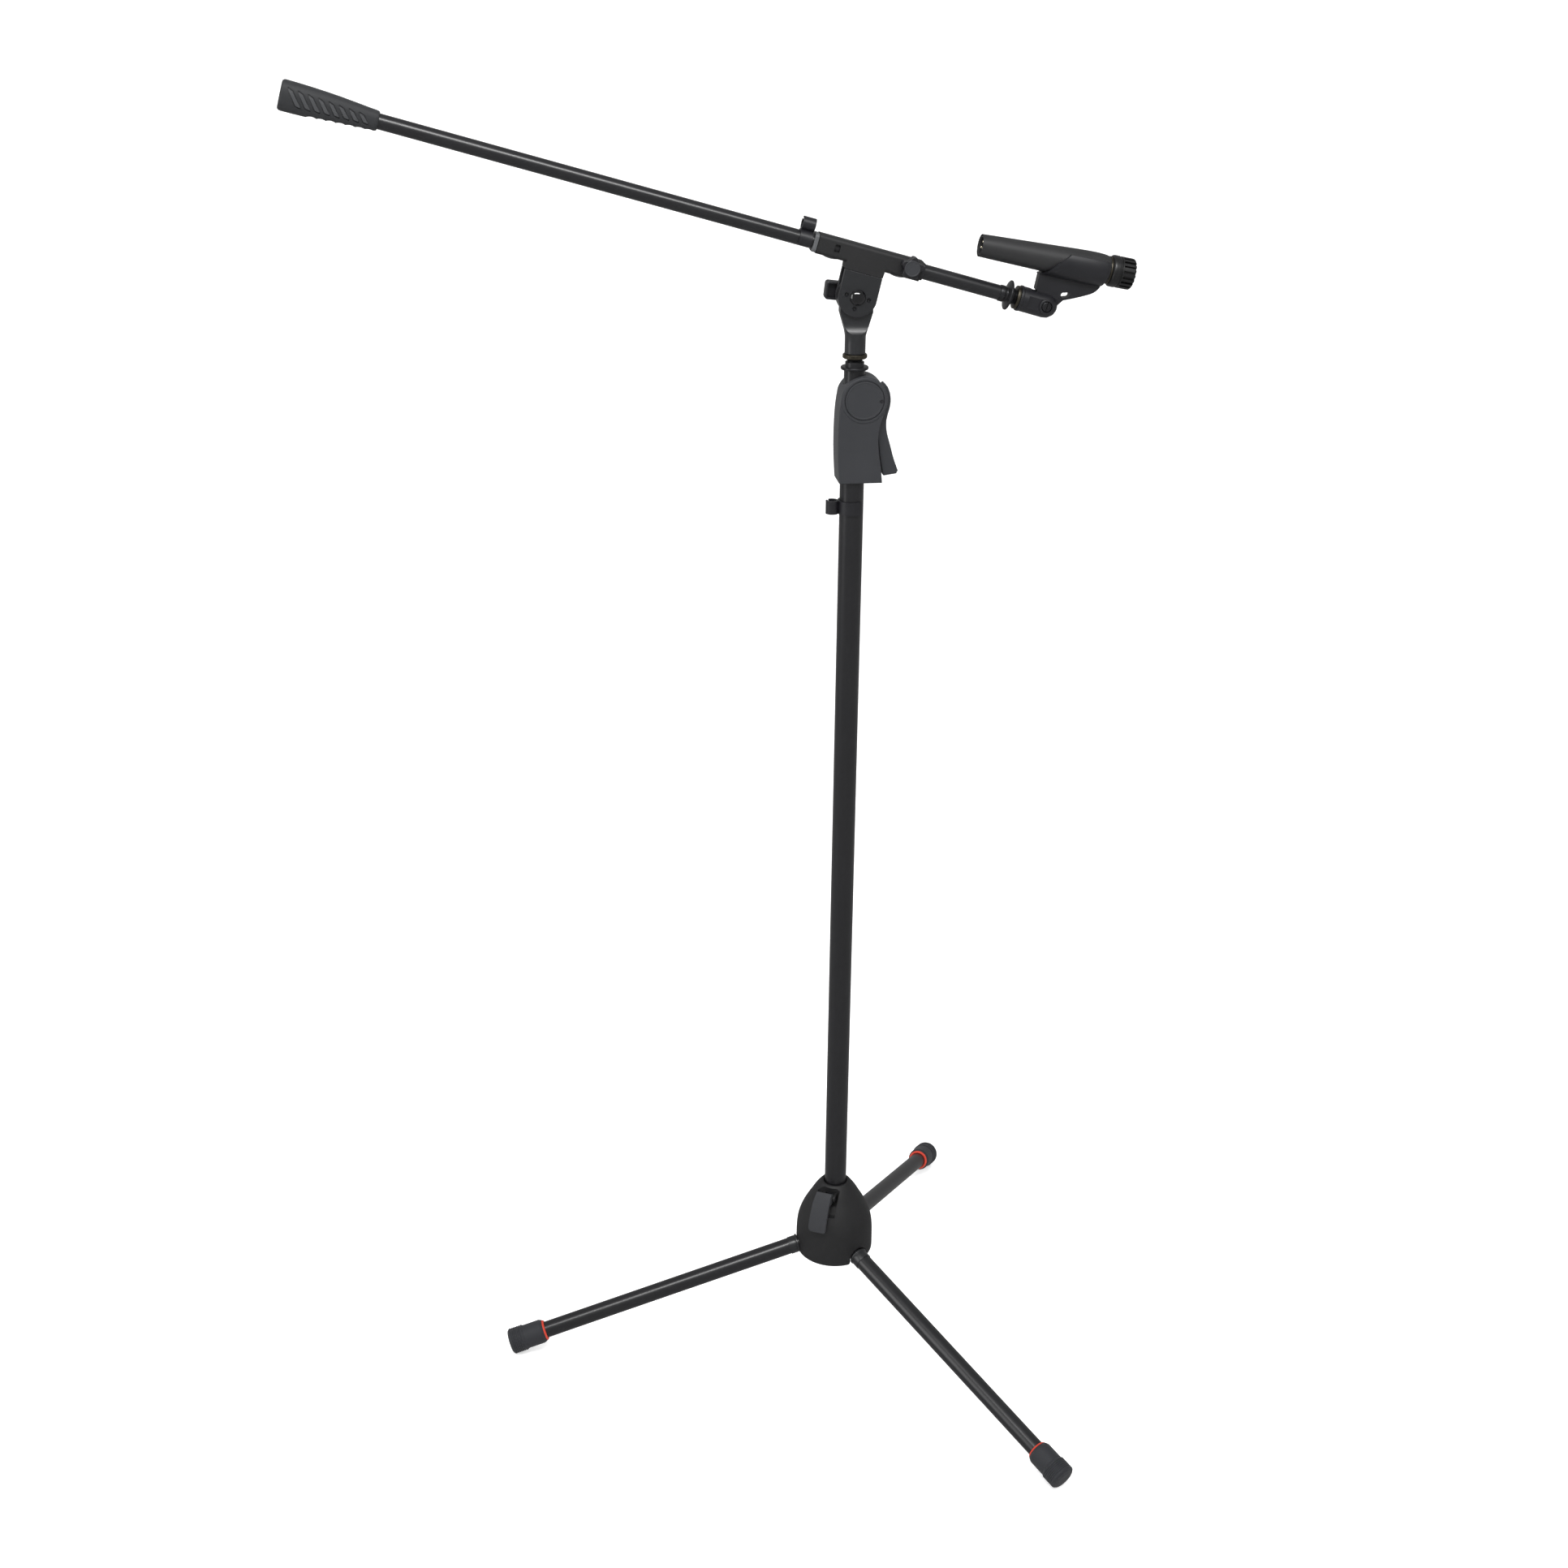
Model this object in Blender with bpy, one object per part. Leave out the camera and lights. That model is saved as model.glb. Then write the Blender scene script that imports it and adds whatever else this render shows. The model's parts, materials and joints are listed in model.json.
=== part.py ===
"""Boom microphone stand: tripod base, clamped column, one-hand height clutch, boom arm, clip and microphone.

Metres, +Z up. The origin is on the column's axis at the underside of its end plug, and the boom lies in the
XZ plane with its microphone end towards +X.
"""

import math

import bmesh
import bpy
from mathutils import Matrix, Vector

MM = 0.001

# Clearances
GAP = 0.3 * MM  # between two pieces that rest on each other
SLIDE_FIT = 0.4 * MM  # radial, a tube in the sleeve it slides through
PIN_FIT = 0.15 * MM  # radial, a pin in its hole
SEAT_FIT = 0.3 * MM  # radial, a plug or a cap on its tube

# Column
COLUMN_R = 12.5 * MM
COLUMN_WALL = 1.4 * MM
COLUMN_TOP = 960 * MM
COLUMN_CLIP_Z = COLUMN_TOP - 49 * MM
PLUG_FLANGE_R = COLUMN_R + 3 * MM
PLUG_FLANGE_H = 4 * MM
PLUG_TOP = 24 * MM

# Hub
HUB_R = 44.7 * MM
HUB_TOP = 95.4 * MM
HUB_RIM = 1 * MM
HUB_WALL = 3 * MM
HUB_BORE_R = COLUMN_R + SLIDE_FIT
HUB_COLLAR_R = HUB_BORE_R + 3.1 * MM
HUB_SOCKET_R = PLUG_FLANGE_R + 1.5 * MM  # room round the plug's flange
LATCH_AZIMUTH = math.radians(241.7)
LATCH_PIVOT_R = COLUMN_R + 10 * MM
LATCH_PIVOT_Z = HUB_TOP - 12.4 * MM
LATCH_PIN_R = 1.6 * MM
LATCH_BARREL_R = 4.8 * MM
LATCH_SHIFT = -4.3 * MM  # the paddle sits to one side of its hinge
LATCH_W = 17.5 * MM

# Legs, measured along each leg's axis from the column's axis
LEG_AZIMUTHS = (math.radians(181.7), math.radians(301.7), math.radians(61.7))
LEG_SLOPE = math.radians(16.87)
LEG_APEX_Z = 24.4 * MM  # where the three leg axes meet the column's axis
LEG_R = 9.5 * MM
LEG_WALL = 1.2 * MM
LEG_END = 404 * MM
LEG_PIVOT_RADIUS = COLUMN_R + 15.5 * MM
LEG_PIN_R = 2.5 * MM
LEG_EYE_R = LEG_R - 1.5 * MM
LEG_TUBE_START = HUB_R + 2.8 * MM
LEG_FERRULE_END = LEG_TUBE_START + 8.5 * MM
FOOT_LENGTH = 42.5 * MM
FOOT_SLEEVE_R = LEG_R + 4.4 * MM
FOOT_R = FOOT_SLEEVE_R + 1.2 * MM
FOOT_GROOVES = 6
SLOT_HALF = LEG_R + 2.25 * MM

# Clutch on the column's head
CLUTCH_BASE = COLUMN_TOP - 21 * MM
CLUTCH_HALF_DEPTH = COLUMN_R + 3.5 * MM
CLUTCH_EYE = (8.5 * MM, CLUTCH_BASE + 86 * MM)
CLUTCH_EYE_R = COLUMN_R + 11.5 * MM
CLUTCH_DISC_R = CLUTCH_EYE_R - 3.8 * MM
LEVER_PIVOT = (COLUMN_R + 13.4 * MM, CLUTCH_BASE + 85.3 * MM)
LEVER_PIN_R = 2 * MM
LEVER_HALF_W = 8.4 * MM
LEVER_SIDE_GAP = 0.6 * MM

# Height tube, which slides in the column, and its thread
MAST_R = COLUMN_R - COLUMN_WALL - SLIDE_FIT
MAST_WALL = 1.4 * MM
MAST_LENGTH = 849 * MM
MAST_TOP = CLUTCH_EYE[1] + CLUTCH_EYE_R + 5 * MM
STUD_R = 7.9 * MM  # 5/8 inch thread
STUD_TOP = MAST_TOP + 30 * MM
STUD_FLANGE_R = MAST_R + 3.55 * MM
LOCK_RING_R = STUD_R + 4.6 * MM
LOCK_RING_Z = (MAST_TOP + 11.6 * MM, MAST_TOP + 16 * MM)

# Boom, measured along its axis from the point above the tilt pivot
BOOM_R = 7.5 * MM
BOOM_WALL = 1.1 * MM
BOOM_ENDS = (-581 * MM, 140 * MM)
GRIP_LENGTH = 93 * MM
TIP_FLANGE_X = BOOM_ENDS[1] + 10 * MM
TIP_FLANGE_R = 15 * MM
CABLE_CLIP_W = 13 * MM

# Boom head
PIVOT_Z = MAST_TOP + 74 * MM
YOKE_NECK_R = STUD_R + SEAT_FIT + 2.4 * MM
BOOM_TILT = math.radians(15.58)
BOOM_RISE = 40.3 * MM  # boom axis above the tilt pivot
EYE_R = 19.6 * MM
TONGUE_HALF = 5.9 * MM
HOLDER_HALF = BOOM_R + SLIDE_FIT + 2.1 * MM  # square section
HOLDER_ENDS = (-53.5 * MM, 54.8 * MM)
SEAM_HEIGHT = 24 * MM  # top of the cheeks above the pivot
BOLT_R = 4 * MM
KNOB_AT = (HOLDER_ENDS[1] - 12.3 * MM, BOOM_RISE + 2.2 * MM)
KNOB_SCREW_R = 2.8 * MM

# Microphone clip
CLIP_MOUTH_X = TIP_FLANGE_X + 10.6 * MM
CLIP_PIVOT_X = CLIP_MOUTH_X + 28.4 * MM
INSERT_R = STUD_R + SEAT_FIT + 1.6 * MM
CLIP_R = INSERT_R + SEAT_FIT + 2.9 * MM
CLIP_SLOT_HALF = 5.2 * MM
CLIP_EYE_R = 8.6 * MM
CLIP_SCREW_R = 3 * MM
CLIP_HEAD_R = CLIP_SCREW_R + 2.2 * MM
CRADLE_WALL = 2.6 * MM
CRADLE_LENGTH = 67.5 * MM
CRADLE_FRONT = 53.1 * MM  # ahead of the clip's pivot

# Microphone
MIC_TILT = math.radians(11.13)
MIC_RISE = 46 * MM  # microphone axis above the clip's pivot
MIC_LENGTH = 160.6 * MM
MIC_HEAD_R = 15.9 * MM
MIC_HEAD_LENGTH = 26.6 * MM
HANDLE_R = 15.2 * MM
HANDLE_LENGTH = MIC_LENGTH - MIC_HEAD_LENGTH
CRADLE_FAR = HANDLE_LENGTH - 2.5 * MM  # along the handle from its rear end
MIC_BACK = CRADLE_FAR - CRADLE_FRONT  # microphone's rear end behind the clip's pivot

STEPS_TUBE = 24
STEPS_ROUND = 20
STEPS_PIN = 12

# Finish: colour (linear RGB), roughness, metallic
PAINTED_STEEL = ((0.013, 0.013, 0.014), 0.34, 0.6)
BLACK_PLASTIC = ((0.017, 0.017, 0.018), 0.55, 0.0)
SOFT_GREY = ((0.037, 0.038, 0.041), 0.62, 0.0)
RUBBER = ((0.022, 0.023, 0.028), 0.7, 0.0)
RED_RUBBER = ((0.48, 0.045, 0.018), 0.5, 0.0)
DIE_CAST = ((0.018, 0.018, 0.019), 0.42, 0.7)
STEEL = ((0.42, 0.42, 0.44), 0.3, 1.0)
BLACK_CHROME = ((0.02, 0.02, 0.022), 0.1, 1.0)
BRASS = ((0.55, 0.36, 0.13), 0.32, 1.0)
MIC_ENAMEL = ((0.034, 0.034, 0.034), 0.55, 0.2)


def clear_scene():
    """Start from an empty scene."""
    for obj in list(bpy.data.objects):
        bpy.data.objects.remove(obj, do_unlink=True)


def make_material(name, finish):
    """One Principled material for one sub-part."""
    colour, roughness, metallic = finish
    material = bpy.data.materials.new(name)
    material.use_nodes = True
    shader = material.node_tree.nodes["Principled BSDF"]
    shader.inputs["Base Color"].default_value = (*colour, 1.0)
    shader.inputs["Roughness"].default_value = roughness
    shader.inputs["Metallic"].default_value = metallic
    return material


def add_frame(name, location=(0, 0, 0), rotation=(0, 0, 0), parent=None):
    """An empty that marks a joint's axis or a leaning part's own frame."""
    empty = bpy.data.objects.new(name, None)
    bpy.context.scene.collection.objects.link(empty)
    empty.parent = parent
    empty.location = location
    empty.rotation_euler = rotation
    return empty


def add_solid(name, bm, finish=None, parent=None, location=(0, 0, 0), rotation=(0, 0, 0)):
    """Turn a bmesh into a named object; with no finish it is a hidden cutter."""
    bmesh.ops.remove_doubles(bm, verts=bm.verts, dist=1e-7)
    bmesh.ops.dissolve_degenerate(bm, edges=bm.edges, dist=1e-7)
    bmesh.ops.recalc_face_normals(bm, faces=bm.faces)
    mesh = bpy.data.meshes.new(name)
    bm.to_mesh(mesh)
    bm.free()
    obj = bpy.data.objects.new(name, mesh)
    bpy.context.scene.collection.objects.link(obj)
    obj.parent = parent
    obj.location = location
    obj.rotation_euler = rotation
    if finish is None:
        obj.hide_render = True
        obj.display_type = "WIRE"
        return obj
    mesh.materials.append(make_material(name, finish))
    mesh.shade_smooth()
    mesh.set_sharp_from_angle(angle=math.radians(35))
    return obj


def turned(profile, steps=STEPS_ROUND, closed=False):
    """A profile of (radius, height) points spun about Z."""
    bm = bmesh.new()
    verts = [bm.verts.new((radius, 0, height)) for radius, height in profile]
    pairs = list(zip(verts, verts[1:]))
    if closed:
        pairs.append((verts[-1], verts[0]))
    edges = [bm.edges.new(pair) for pair in pairs]
    bmesh.ops.spin(
        bm,
        geom=verts + edges,
        cent=(0, 0, 0),
        axis=(0, 0, 1),
        angle=math.tau,
        steps=steps,
        use_merge=True,
    )
    return bm


def rod(radius, low, high, steps=STEPS_ROUND):
    """A solid cylinder on Z."""
    return turned([(0, low), (radius, low), (radius, high), (0, high)], steps)


def tube(radius, wall, low, high, steps=STEPS_TUBE):
    """A hollow cylinder on Z."""
    inner = radius - wall
    return turned([(inner, low), (radius, low), (radius, high), (inner, high)], steps, closed=True)


def slab(outline, low, high):
    """An outline of (x, z) points given a thickness along Y."""
    bm = bmesh.new()
    face = bm.faces.new([bm.verts.new((x, low, z)) for x, z in outline])
    grown = bmesh.ops.extrude_face_region(bm, geom=[face])
    moved = [item for item in grown["geom"] if isinstance(item, bmesh.types.BMVert)]
    bmesh.ops.translate(bm, verts=moved, vec=(0, high - low, 0))
    return bm


def plate(outline, low, high):
    """An outline of (x, y) points given a thickness along Z."""
    bm = bmesh.new()
    face = bm.faces.new([bm.verts.new((x, y, low)) for x, y in outline])
    grown = bmesh.ops.extrude_face_region(bm, geom=[face])
    moved = [item for item in grown["geom"] if isinstance(item, bmesh.types.BMVert)]
    bmesh.ops.translate(bm, verts=moved, vec=(0, 0, high - low))
    return bm


def block(low, high):
    """A box between two corners."""
    corners = [(low[0], low[1]), (high[0], low[1]), (high[0], high[1]), (low[0], high[1])]
    return plate(corners, low[2], high[2])


def arc(centre, radius, start, end, count):
    """Points along an arc, angles in degrees, both ends included."""
    angles = [math.radians(start + (end - start) * i / (count - 1)) for i in range(count)]
    return [(centre[0] + radius * math.cos(a), centre[1] + radius * math.sin(a)) for a in angles]


def in_mm(points):
    """Outline points written in millimetres."""
    return [(a * MM, b * MM) for a, b in points]


def boolean(obj, other, operation="DIFFERENCE"):
    """Cut obj with other, or join other to it; other becomes a hidden guide."""
    modifier = obj.modifiers.new(f"{operation.lower()} {other.name}", "BOOLEAN")
    modifier.operation = operation
    modifier.solver = "EXACT"
    modifier.object = other
    other.hide_render = True
    other.display_type = "WIRE"


def bevel(obj, width, segments=2):
    """Round the sharp edges of a moulded or cast piece."""
    modifier = obj.modifiers.new("rounded edges", "BEVEL")
    modifier.width = width
    modifier.segments = segments
    modifier.limit_method = "ANGLE"
    modifier.angle_limit = math.radians(50)


# The bell's curve from the collar down: shares of the way out to HUB_R, and up from the rim to the top
BELL_CURVE = (
    (0.0418, 0.9873), (0.1394, 0.9534), (0.3066, 0.8824), (0.453, 0.8051), (0.5923, 0.7341), (0.7108, 0.6674),
    (0.8084, 0.6038), (0.885, 0.5403), (0.9408, 0.4767), (0.9756, 0.4025), (0.993, 0.3284), (1, 0.2436),
    (1, 0.0847), (0.9721, 0.0445), (0.9129, 0.0169), (0.8223, 0),
)


def hub_outline():
    """The bell's outer curve, from the collar down to the rim, as (radius, height)."""
    spread, rise = HUB_R - HUB_COLLAR_R, HUB_TOP - HUB_RIM
    return [(HUB_COLLAR_R + out * spread, HUB_RIM + up * rise) for out, up in BELL_CURVE]


def bell_radius(height):
    """Outer radius of the bell at a height."""
    outline = hub_outline()
    for (r_above, above), (r_below, below) in zip(outline, outline[1:]):
        if height >= below:
            return r_above + (r_below - r_above) * (above - height) / (above - below)
    return outline[-1][0]


def leg_frame(name, azimuth):
    """Frame on a leg's hinge pin: X along the leg, Y along the pin."""
    height = LEG_APEX_Z - LEG_PIVOT_RADIUS * math.tan(LEG_SLOPE)
    location = (LEG_PIVOT_RADIUS * math.cos(azimuth), LEG_PIVOT_RADIUS * math.sin(azimuth), height)
    return add_frame(name, location, (0, LEG_SLOPE, azimuth))


def slot_section(reach):
    """Upright section of a leg's slot at a distance from the column's axis: round on top, open below."""
    pivot_z = LEG_APEX_Z - LEG_PIVOT_RADIUS * math.tan(LEG_SLOPE)
    middle = pivot_z - (reach - LEG_PIVOT_RADIUS) * math.tan(LEG_SLOPE)
    rise = SLOT_HALF / math.cos(LEG_SLOPE)
    turns = [math.pi * i / 10 for i in range(11)]
    ring = [(reach, SLOT_HALF * math.cos(a), middle + rise * math.sin(a)) for a in turns]
    return ring + [(reach, -SLOT_HALF, -20 * MM), (reach, SLOT_HALF, -20 * MM)]


def cut_leg_slot(hub, index, azimuth):
    """Arched slot that a leg leaves through and folds down in, and the hollow beside it."""
    inner, outer = HUB_BORE_R + 3.7 * MM, HUB_R + 15.3 * MM
    slot = loft([slot_section(inner), slot_section(outer)])
    boolean(hub, add_solid(f"leg_slot_{index}", slot, rotation=(0, 0, azimuth)))
    between = azimuth + math.radians(60)
    boolean(hub, add_solid(f"hub_pocket_{index}", plate(hub_pocket(between), -5 * MM, 36 * MM)))
    return leg_frame(f"slot_frame_{index}", azimuth)


def hub_pocket(azimuth):
    """Outline of a hollow between two leg slots, seen from below."""
    clear = SLOT_HALF + HUB_WALL
    inner, outer = HUB_SOCKET_R + 2.5 * MM, HUB_R - 7.1 * MM
    points = []
    for radius, ends in ((inner, (1, -1)), (outer, (-1, 1))):
        half = 60 - math.degrees(math.asin(clear / radius))
        points += arc((0, 0), radius, ends[0] * half, ends[1] * half, 7)
    turn = Matrix.Rotation(azimuth, 2)
    return [tuple(turn @ Vector(point)) for point in points]


def make_hub():
    """Bell-shaped base: bore for the column, three leg slots, hollows between them and the latch's recess."""
    stop = PLUG_FLANGE_H + GAP
    profile = [(HUB_BORE_R, HUB_TOP), (HUB_COLLAR_R, HUB_TOP)] + hub_outline()
    profile += [(HUB_SOCKET_R, HUB_RIM), (HUB_SOCKET_R, stop), (HUB_BORE_R, stop)]
    hub = add_solid("hub_shell", turned(profile, 36, closed=True), BLACK_PLASTIC)
    frames = [cut_leg_slot(hub, index, azimuth) for index, azimuth in enumerate(LEG_AZIMUTHS, 1)]
    for index, frame in enumerate(frames, 1):
        reach = SLOT_HALF + 6.25 * MM
        hole = rod(LEG_PIN_R + PIN_FIT, -reach, reach, STEPS_PIN)
        boolean(hub, add_solid(f"pin_hole_{index}", hole, parent=frame, rotation=(math.pi / 2, 0, 0)))
    recess = ((3.5, 7.8), (3.5, -5), (8.1, -12.5), (16.6, -18.5), (60, -18.5), (60, 7.8))
    floor = [(HUB_BORE_R + out * MM, LATCH_PIVOT_Z + up * MM) for out, up in recess]
    turn = (0, 0, LATCH_AZIMUTH)
    boolean(hub, add_solid("latch_recess", slab(floor, -13.5 * MM, 11.5 * MM), rotation=turn))
    root, foot, head = HUB_BORE_R + 2.1 * MM, LATCH_PIVOT_Z - 4.5 * MM, LATCH_PIVOT_Z + 4.2 * MM
    lug = [(root, foot), (LATCH_PIVOT_R, foot)]
    lug += arc((LATCH_PIVOT_R, LATCH_PIVOT_Z), LATCH_PIN_R + 2.4 * MM, -80, 80, 7)
    lug += [(LATCH_PIVOT_R, head), (root, head)]
    for side in (-1, 1):
        ends = sorted((side * 5.4 * MM, side * 8.4 * MM))
        boolean(hub, add_solid(f"latch_lug_{side + 2}", slab(lug, *ends), rotation=turn), "UNION")
    hinge = add_frame("latch_hole_frame", latch_pivot(), turn)
    hole = rod(LATCH_PIN_R + PIN_FIT, -8.7 * MM, 8.7 * MM, STEPS_PIN)
    boolean(hub, add_solid("latch_pin_hole", hole, parent=hinge, rotation=(math.pi / 2, 0, 0)))
    low, high = LATCH_PIVOT_Z - 4.4 * MM, LATCH_PIVOT_Z + 4 * MM
    window = block((COLUMN_R - 1.5 * MM, -5 * MM, low), (LATCH_PIVOT_R - 2.5 * MM, 5 * MM, high))
    boolean(hub, add_solid("shoe_window", window, rotation=turn))


def latch_pivot():
    """Where the latch's hinge axis crosses the plane through the column and the latch."""
    return (
        LATCH_PIVOT_R * math.cos(LATCH_AZIMUTH),
        LATCH_PIVOT_R * math.sin(LATCH_AZIMUTH),
        LATCH_PIVOT_Z,
    )


def make_latch():
    """Paddle lever with a cam barrel, its pin, and the shoe that the cam presses on the column."""
    turn = (0, 0, LATCH_AZIMUTH)
    hinge = add_frame("latch_hinge", latch_pivot(), turn)
    # The paddle's head keeps its place from the hinge, and its tail its distance from the bell
    top, under = in_mm([(5.5, 5.3), (6.1, 6.3), (11, 0.6)]), in_mm([(9.5, -5.5), (6.3, -1.4)])
    standoff = in_mm([
        (8.71, -9), (8.1, -19), (7.72, -28.5), (7.58, -32.2), (6.67, -33), (4.12, -32.8), (3.53, -23), (3.7, -14),
    ])
    tail = [(bell_radius(LATCH_PIVOT_Z + up) + out - LATCH_PIVOT_R, up) for out, up in standoff]
    blade = top + tail + under
    ends = (LATCH_SHIFT - LATCH_W / 2, LATCH_SHIFT + LATCH_W / 2)
    latch = add_solid("hub_latch", slab(blade, *ends), SOFT_GREY, hinge)
    neck = in_mm([(0, 4.8), (0, -4.8), (4, -5.5), (9, -5.4), (10.5, 0), (6.5, 4.6)])
    boolean(latch, add_solid("latch_neck", slab(neck, -5 * MM, 5 * MM), parent=hinge), "UNION")
    barrel = rod(LATCH_BARREL_R, -5 * MM, 5 * MM)
    boolean(latch, add_solid("latch_barrel", barrel, parent=hinge, rotation=(math.pi / 2, 0, 0)), "UNION")
    hole = rod(LATCH_PIN_R + PIN_FIT, -7 * MM, 7 * MM, STEPS_PIN)
    boolean(latch, add_solid("latch_bore", hole, parent=hinge, rotation=(math.pi / 2, 0, 0)))
    pin = rod(LATCH_PIN_R, -8.5 * MM, 8.5 * MM, STEPS_PIN)
    add_solid("latch_pin", pin, STEEL, hinge, rotation=(math.pi / 2, 0, 0))
    reach = LATCH_PIVOT_R - LATCH_BARREL_R - GAP
    low, high = LATCH_PIVOT_Z - 4.1 * MM, LATCH_PIVOT_Z + 3.7 * MM
    shoe_box = block((COLUMN_R - 1 * MM, -4.7 * MM, low), (reach, 4.7 * MM, high))
    shoe = add_solid("hub_clamp_shoe", shoe_box, BLACK_PLASTIC, rotation=turn)
    hollow = rod(COLUMN_R + GAP, low - 9 * MM, high + 9 * MM, STEPS_TUBE)
    boolean(shoe, add_solid("shoe_hollow", hollow))


def foot_profile():
    """Rubber foot's section: smooth sleeve, grooved tread and rounded end, with a blind bore."""
    mouth = LEG_END - FOOT_LENGTH
    tread = mouth + 24.5 * MM
    bore = LEG_R + SEAT_FIT
    points = [(0, LEG_END - 13 * MM), (bore, LEG_END - 13 * MM), (bore, mouth)]
    points += [(FOOT_SLEEVE_R - 1.7 * MM, mouth), (FOOT_SLEEVE_R - 0.5 * MM, mouth + 1.5 * MM)]
    points += [(FOOT_SLEEVE_R, mouth + 4 * MM)]
    points += [(FOOT_SLEEVE_R, tread - 0.5 * MM), (FOOT_R, tread + 0.8 * MM)]
    pitch = 2.1 * MM  # of the grooves
    for i in range(FOOT_GROOVES):
        start = tread + 1.2 * MM + i * pitch
        points += [(FOOT_R, start), (FOOT_R - 0.6 * MM, start + pitch / 2)]
    points += [(FOOT_R, tread + 1.2 * MM + FOOT_GROOVES * pitch), (FOOT_R - 0.6 * MM, LEG_END - 2.2 * MM)]
    points += [(FOOT_R - 3.2 * MM, LEG_END - 0.6 * MM)]
    points += [(FOOT_R - 8 * MM, LEG_END - 0.1 * MM), (0, LEG_END)]
    return points


# Where the leg's eye runs into its round shoulder: distance, side, and how much it narrows
EYE_ROOT = ((4, -1, 0.4), (9, -1, 1), (9, 1, 1), (4, 1, 0.4))


def make_leg(index, azimuth):
    """Hinged leg: cast knuckle, tube, red ring and rubber foot, and the pin it turns on."""
    hinge = leg_frame(f"leg_hinge_{index}", azimuth)
    start = LEG_PIVOT_RADIUS / math.cos(LEG_SLOPE)
    along = {"parent": hinge, "location": (-start, 0, 0), "rotation": (0, math.pi / 2, 0)}
    inner = LEG_R - LEG_WALL - SEAT_FIT
    shoulder = LEG_TUBE_START - 3 * MM
    ferrule = LEG_R + SEAT_FIT
    collar, sleeve = ferrule + 1 * MM, ferrule + 0.5 * MM
    profile = [
        (0, start + 4 * MM), (LEG_EYE_R, start + 5 * MM), (LEG_R - 0.5 * MM, shoulder),
        (collar, shoulder), (collar, shoulder + 1.8 * MM), (sleeve, shoulder + 2.2 * MM),
        (sleeve, LEG_FERRULE_END), (ferrule, LEG_FERRULE_END), (ferrule, LEG_TUBE_START - GAP),
        (inner, LEG_TUBE_START - GAP), (inner, LEG_FERRULE_END + 14 * MM), (0, LEG_FERRULE_END + 14 * MM),
    ]
    knuckle = add_solid(f"leg_knuckle_{index}", turned(profile), DIE_CAST, **along)
    half = LEG_EYE_R
    eye = arc((0, 0), LEG_EYE_R, 60, 300, 11)
    eye += [(x * MM, side * (LEG_EYE_R - less * MM)) for x, side, less in EYE_ROOT]
    boolean(knuckle, add_solid(f"leg_eye_{index}", slab(eye, -half, half), parent=hinge), "UNION")
    hole = rod(LEG_PIN_R + PIN_FIT, -SLOT_HALF, SLOT_HALF, STEPS_PIN)
    boolean(knuckle, add_solid(f"eye_hole_{index}", hole, parent=hinge, rotation=(math.pi / 2, 0, 0)))
    reach = SLOT_HALF + 3.85 * MM
    pin = rod(LEG_PIN_R, -reach, reach, STEPS_PIN)
    add_solid(f"leg_pin_{index}", pin, STEEL, hinge, rotation=(math.pi / 2, 0, 0))
    tube_end = LEG_END - 14 * MM
    add_solid(f"leg_tube_{index}", tube(LEG_R, LEG_WALL, LEG_TUBE_START, tube_end), PAINTED_STEEL, **along)
    mouth = LEG_END - FOOT_LENGTH
    bore = LEG_R + SEAT_FIT
    crest = bore + 1.6 * MM
    ring = [(bore, mouth - 2.2 * MM), (bore + 1 * MM, mouth - 2.2 * MM), (crest, mouth - 1.2 * MM)]
    ring += [(crest, mouth - GAP), (bore, mouth - GAP)]
    add_solid(f"leg_ring_{index}", turned(ring, closed=True), RED_RUBBER, **along)
    add_solid(f"foot_cap_{index}", turned(foot_profile()), RUBBER, **along)


def make_column():
    """Column tube with the plug that stops it in the hub, and the cable clip near its head."""
    add_solid(
        "column_tube", tube(COLUMN_R, COLUMN_WALL, PLUG_FLANGE_H + GAP, COLUMN_TOP, 28), PAINTED_STEEL
    )
    inner = COLUMN_R - COLUMN_WALL - SEAT_FIT
    profile = [(0, 0), (PLUG_FLANGE_R - 0.8 * MM, 0), (PLUG_FLANGE_R, 0.8 * MM)]
    profile += [(PLUG_FLANGE_R, PLUG_FLANGE_H), (inner, PLUG_FLANGE_H), (inner, PLUG_TOP), (0, PLUG_TOP)]
    add_solid("column_plug", turned(profile), BLACK_PLASTIC)
    frame = add_frame("column_clip_frame", (0, 0, COLUMN_CLIP_Z), (0, 0, math.pi))
    cable_clip("column_cable_clip", frame, COLUMN_R, COLUMN_R + 7.8 * MM, CABLE_CLIP_W + 1 * MM)


def cable_clip(name, frame, tube_radius, loop_x, width):
    """Snap band round a tube with a cable loop on its +X side and its mouth on the other."""
    inner = tube_radius + GAP
    band = arc((0, 0), inner + 1.6 * MM, -128, 128, 25) + arc((0, 0), inner, 128, -128, 25)
    clip = add_solid(name, plate(band, -width / 2, width / 2), BLACK_PLASTIC, frame)
    loop = arc((loop_x, 0), 6.6 * MM, 62, 382, 25) + arc((loop_x, 0), 4.6 * MM, 382, 62, 25)
    boolean(clip, add_solid(f"{name}_loop", plate(loop, -width / 2, width / 2), parent=frame), "UNION")


def clutch_outline():
    """Side outline of the clutch body, anticlockwise from its bottom right."""
    right = ((16.5, 0), (15.5, 9), (12.3, 32), (11.3, 46), (12.3, 57.5), (15.5, 68.5))
    left = ((4.1, 79), (5.1, 64), (5.5, 42), (3.5, 0))
    points = [(COLUMN_R + out * MM, CLUTCH_BASE + up * MM) for out, up in right]
    points += arc(CLUTCH_EYE, CLUTCH_EYE_R, -28, 165, 17)
    return points + [(-COLUMN_R - out * MM, CLUTCH_BASE + up * MM) for out, up in left]


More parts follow.
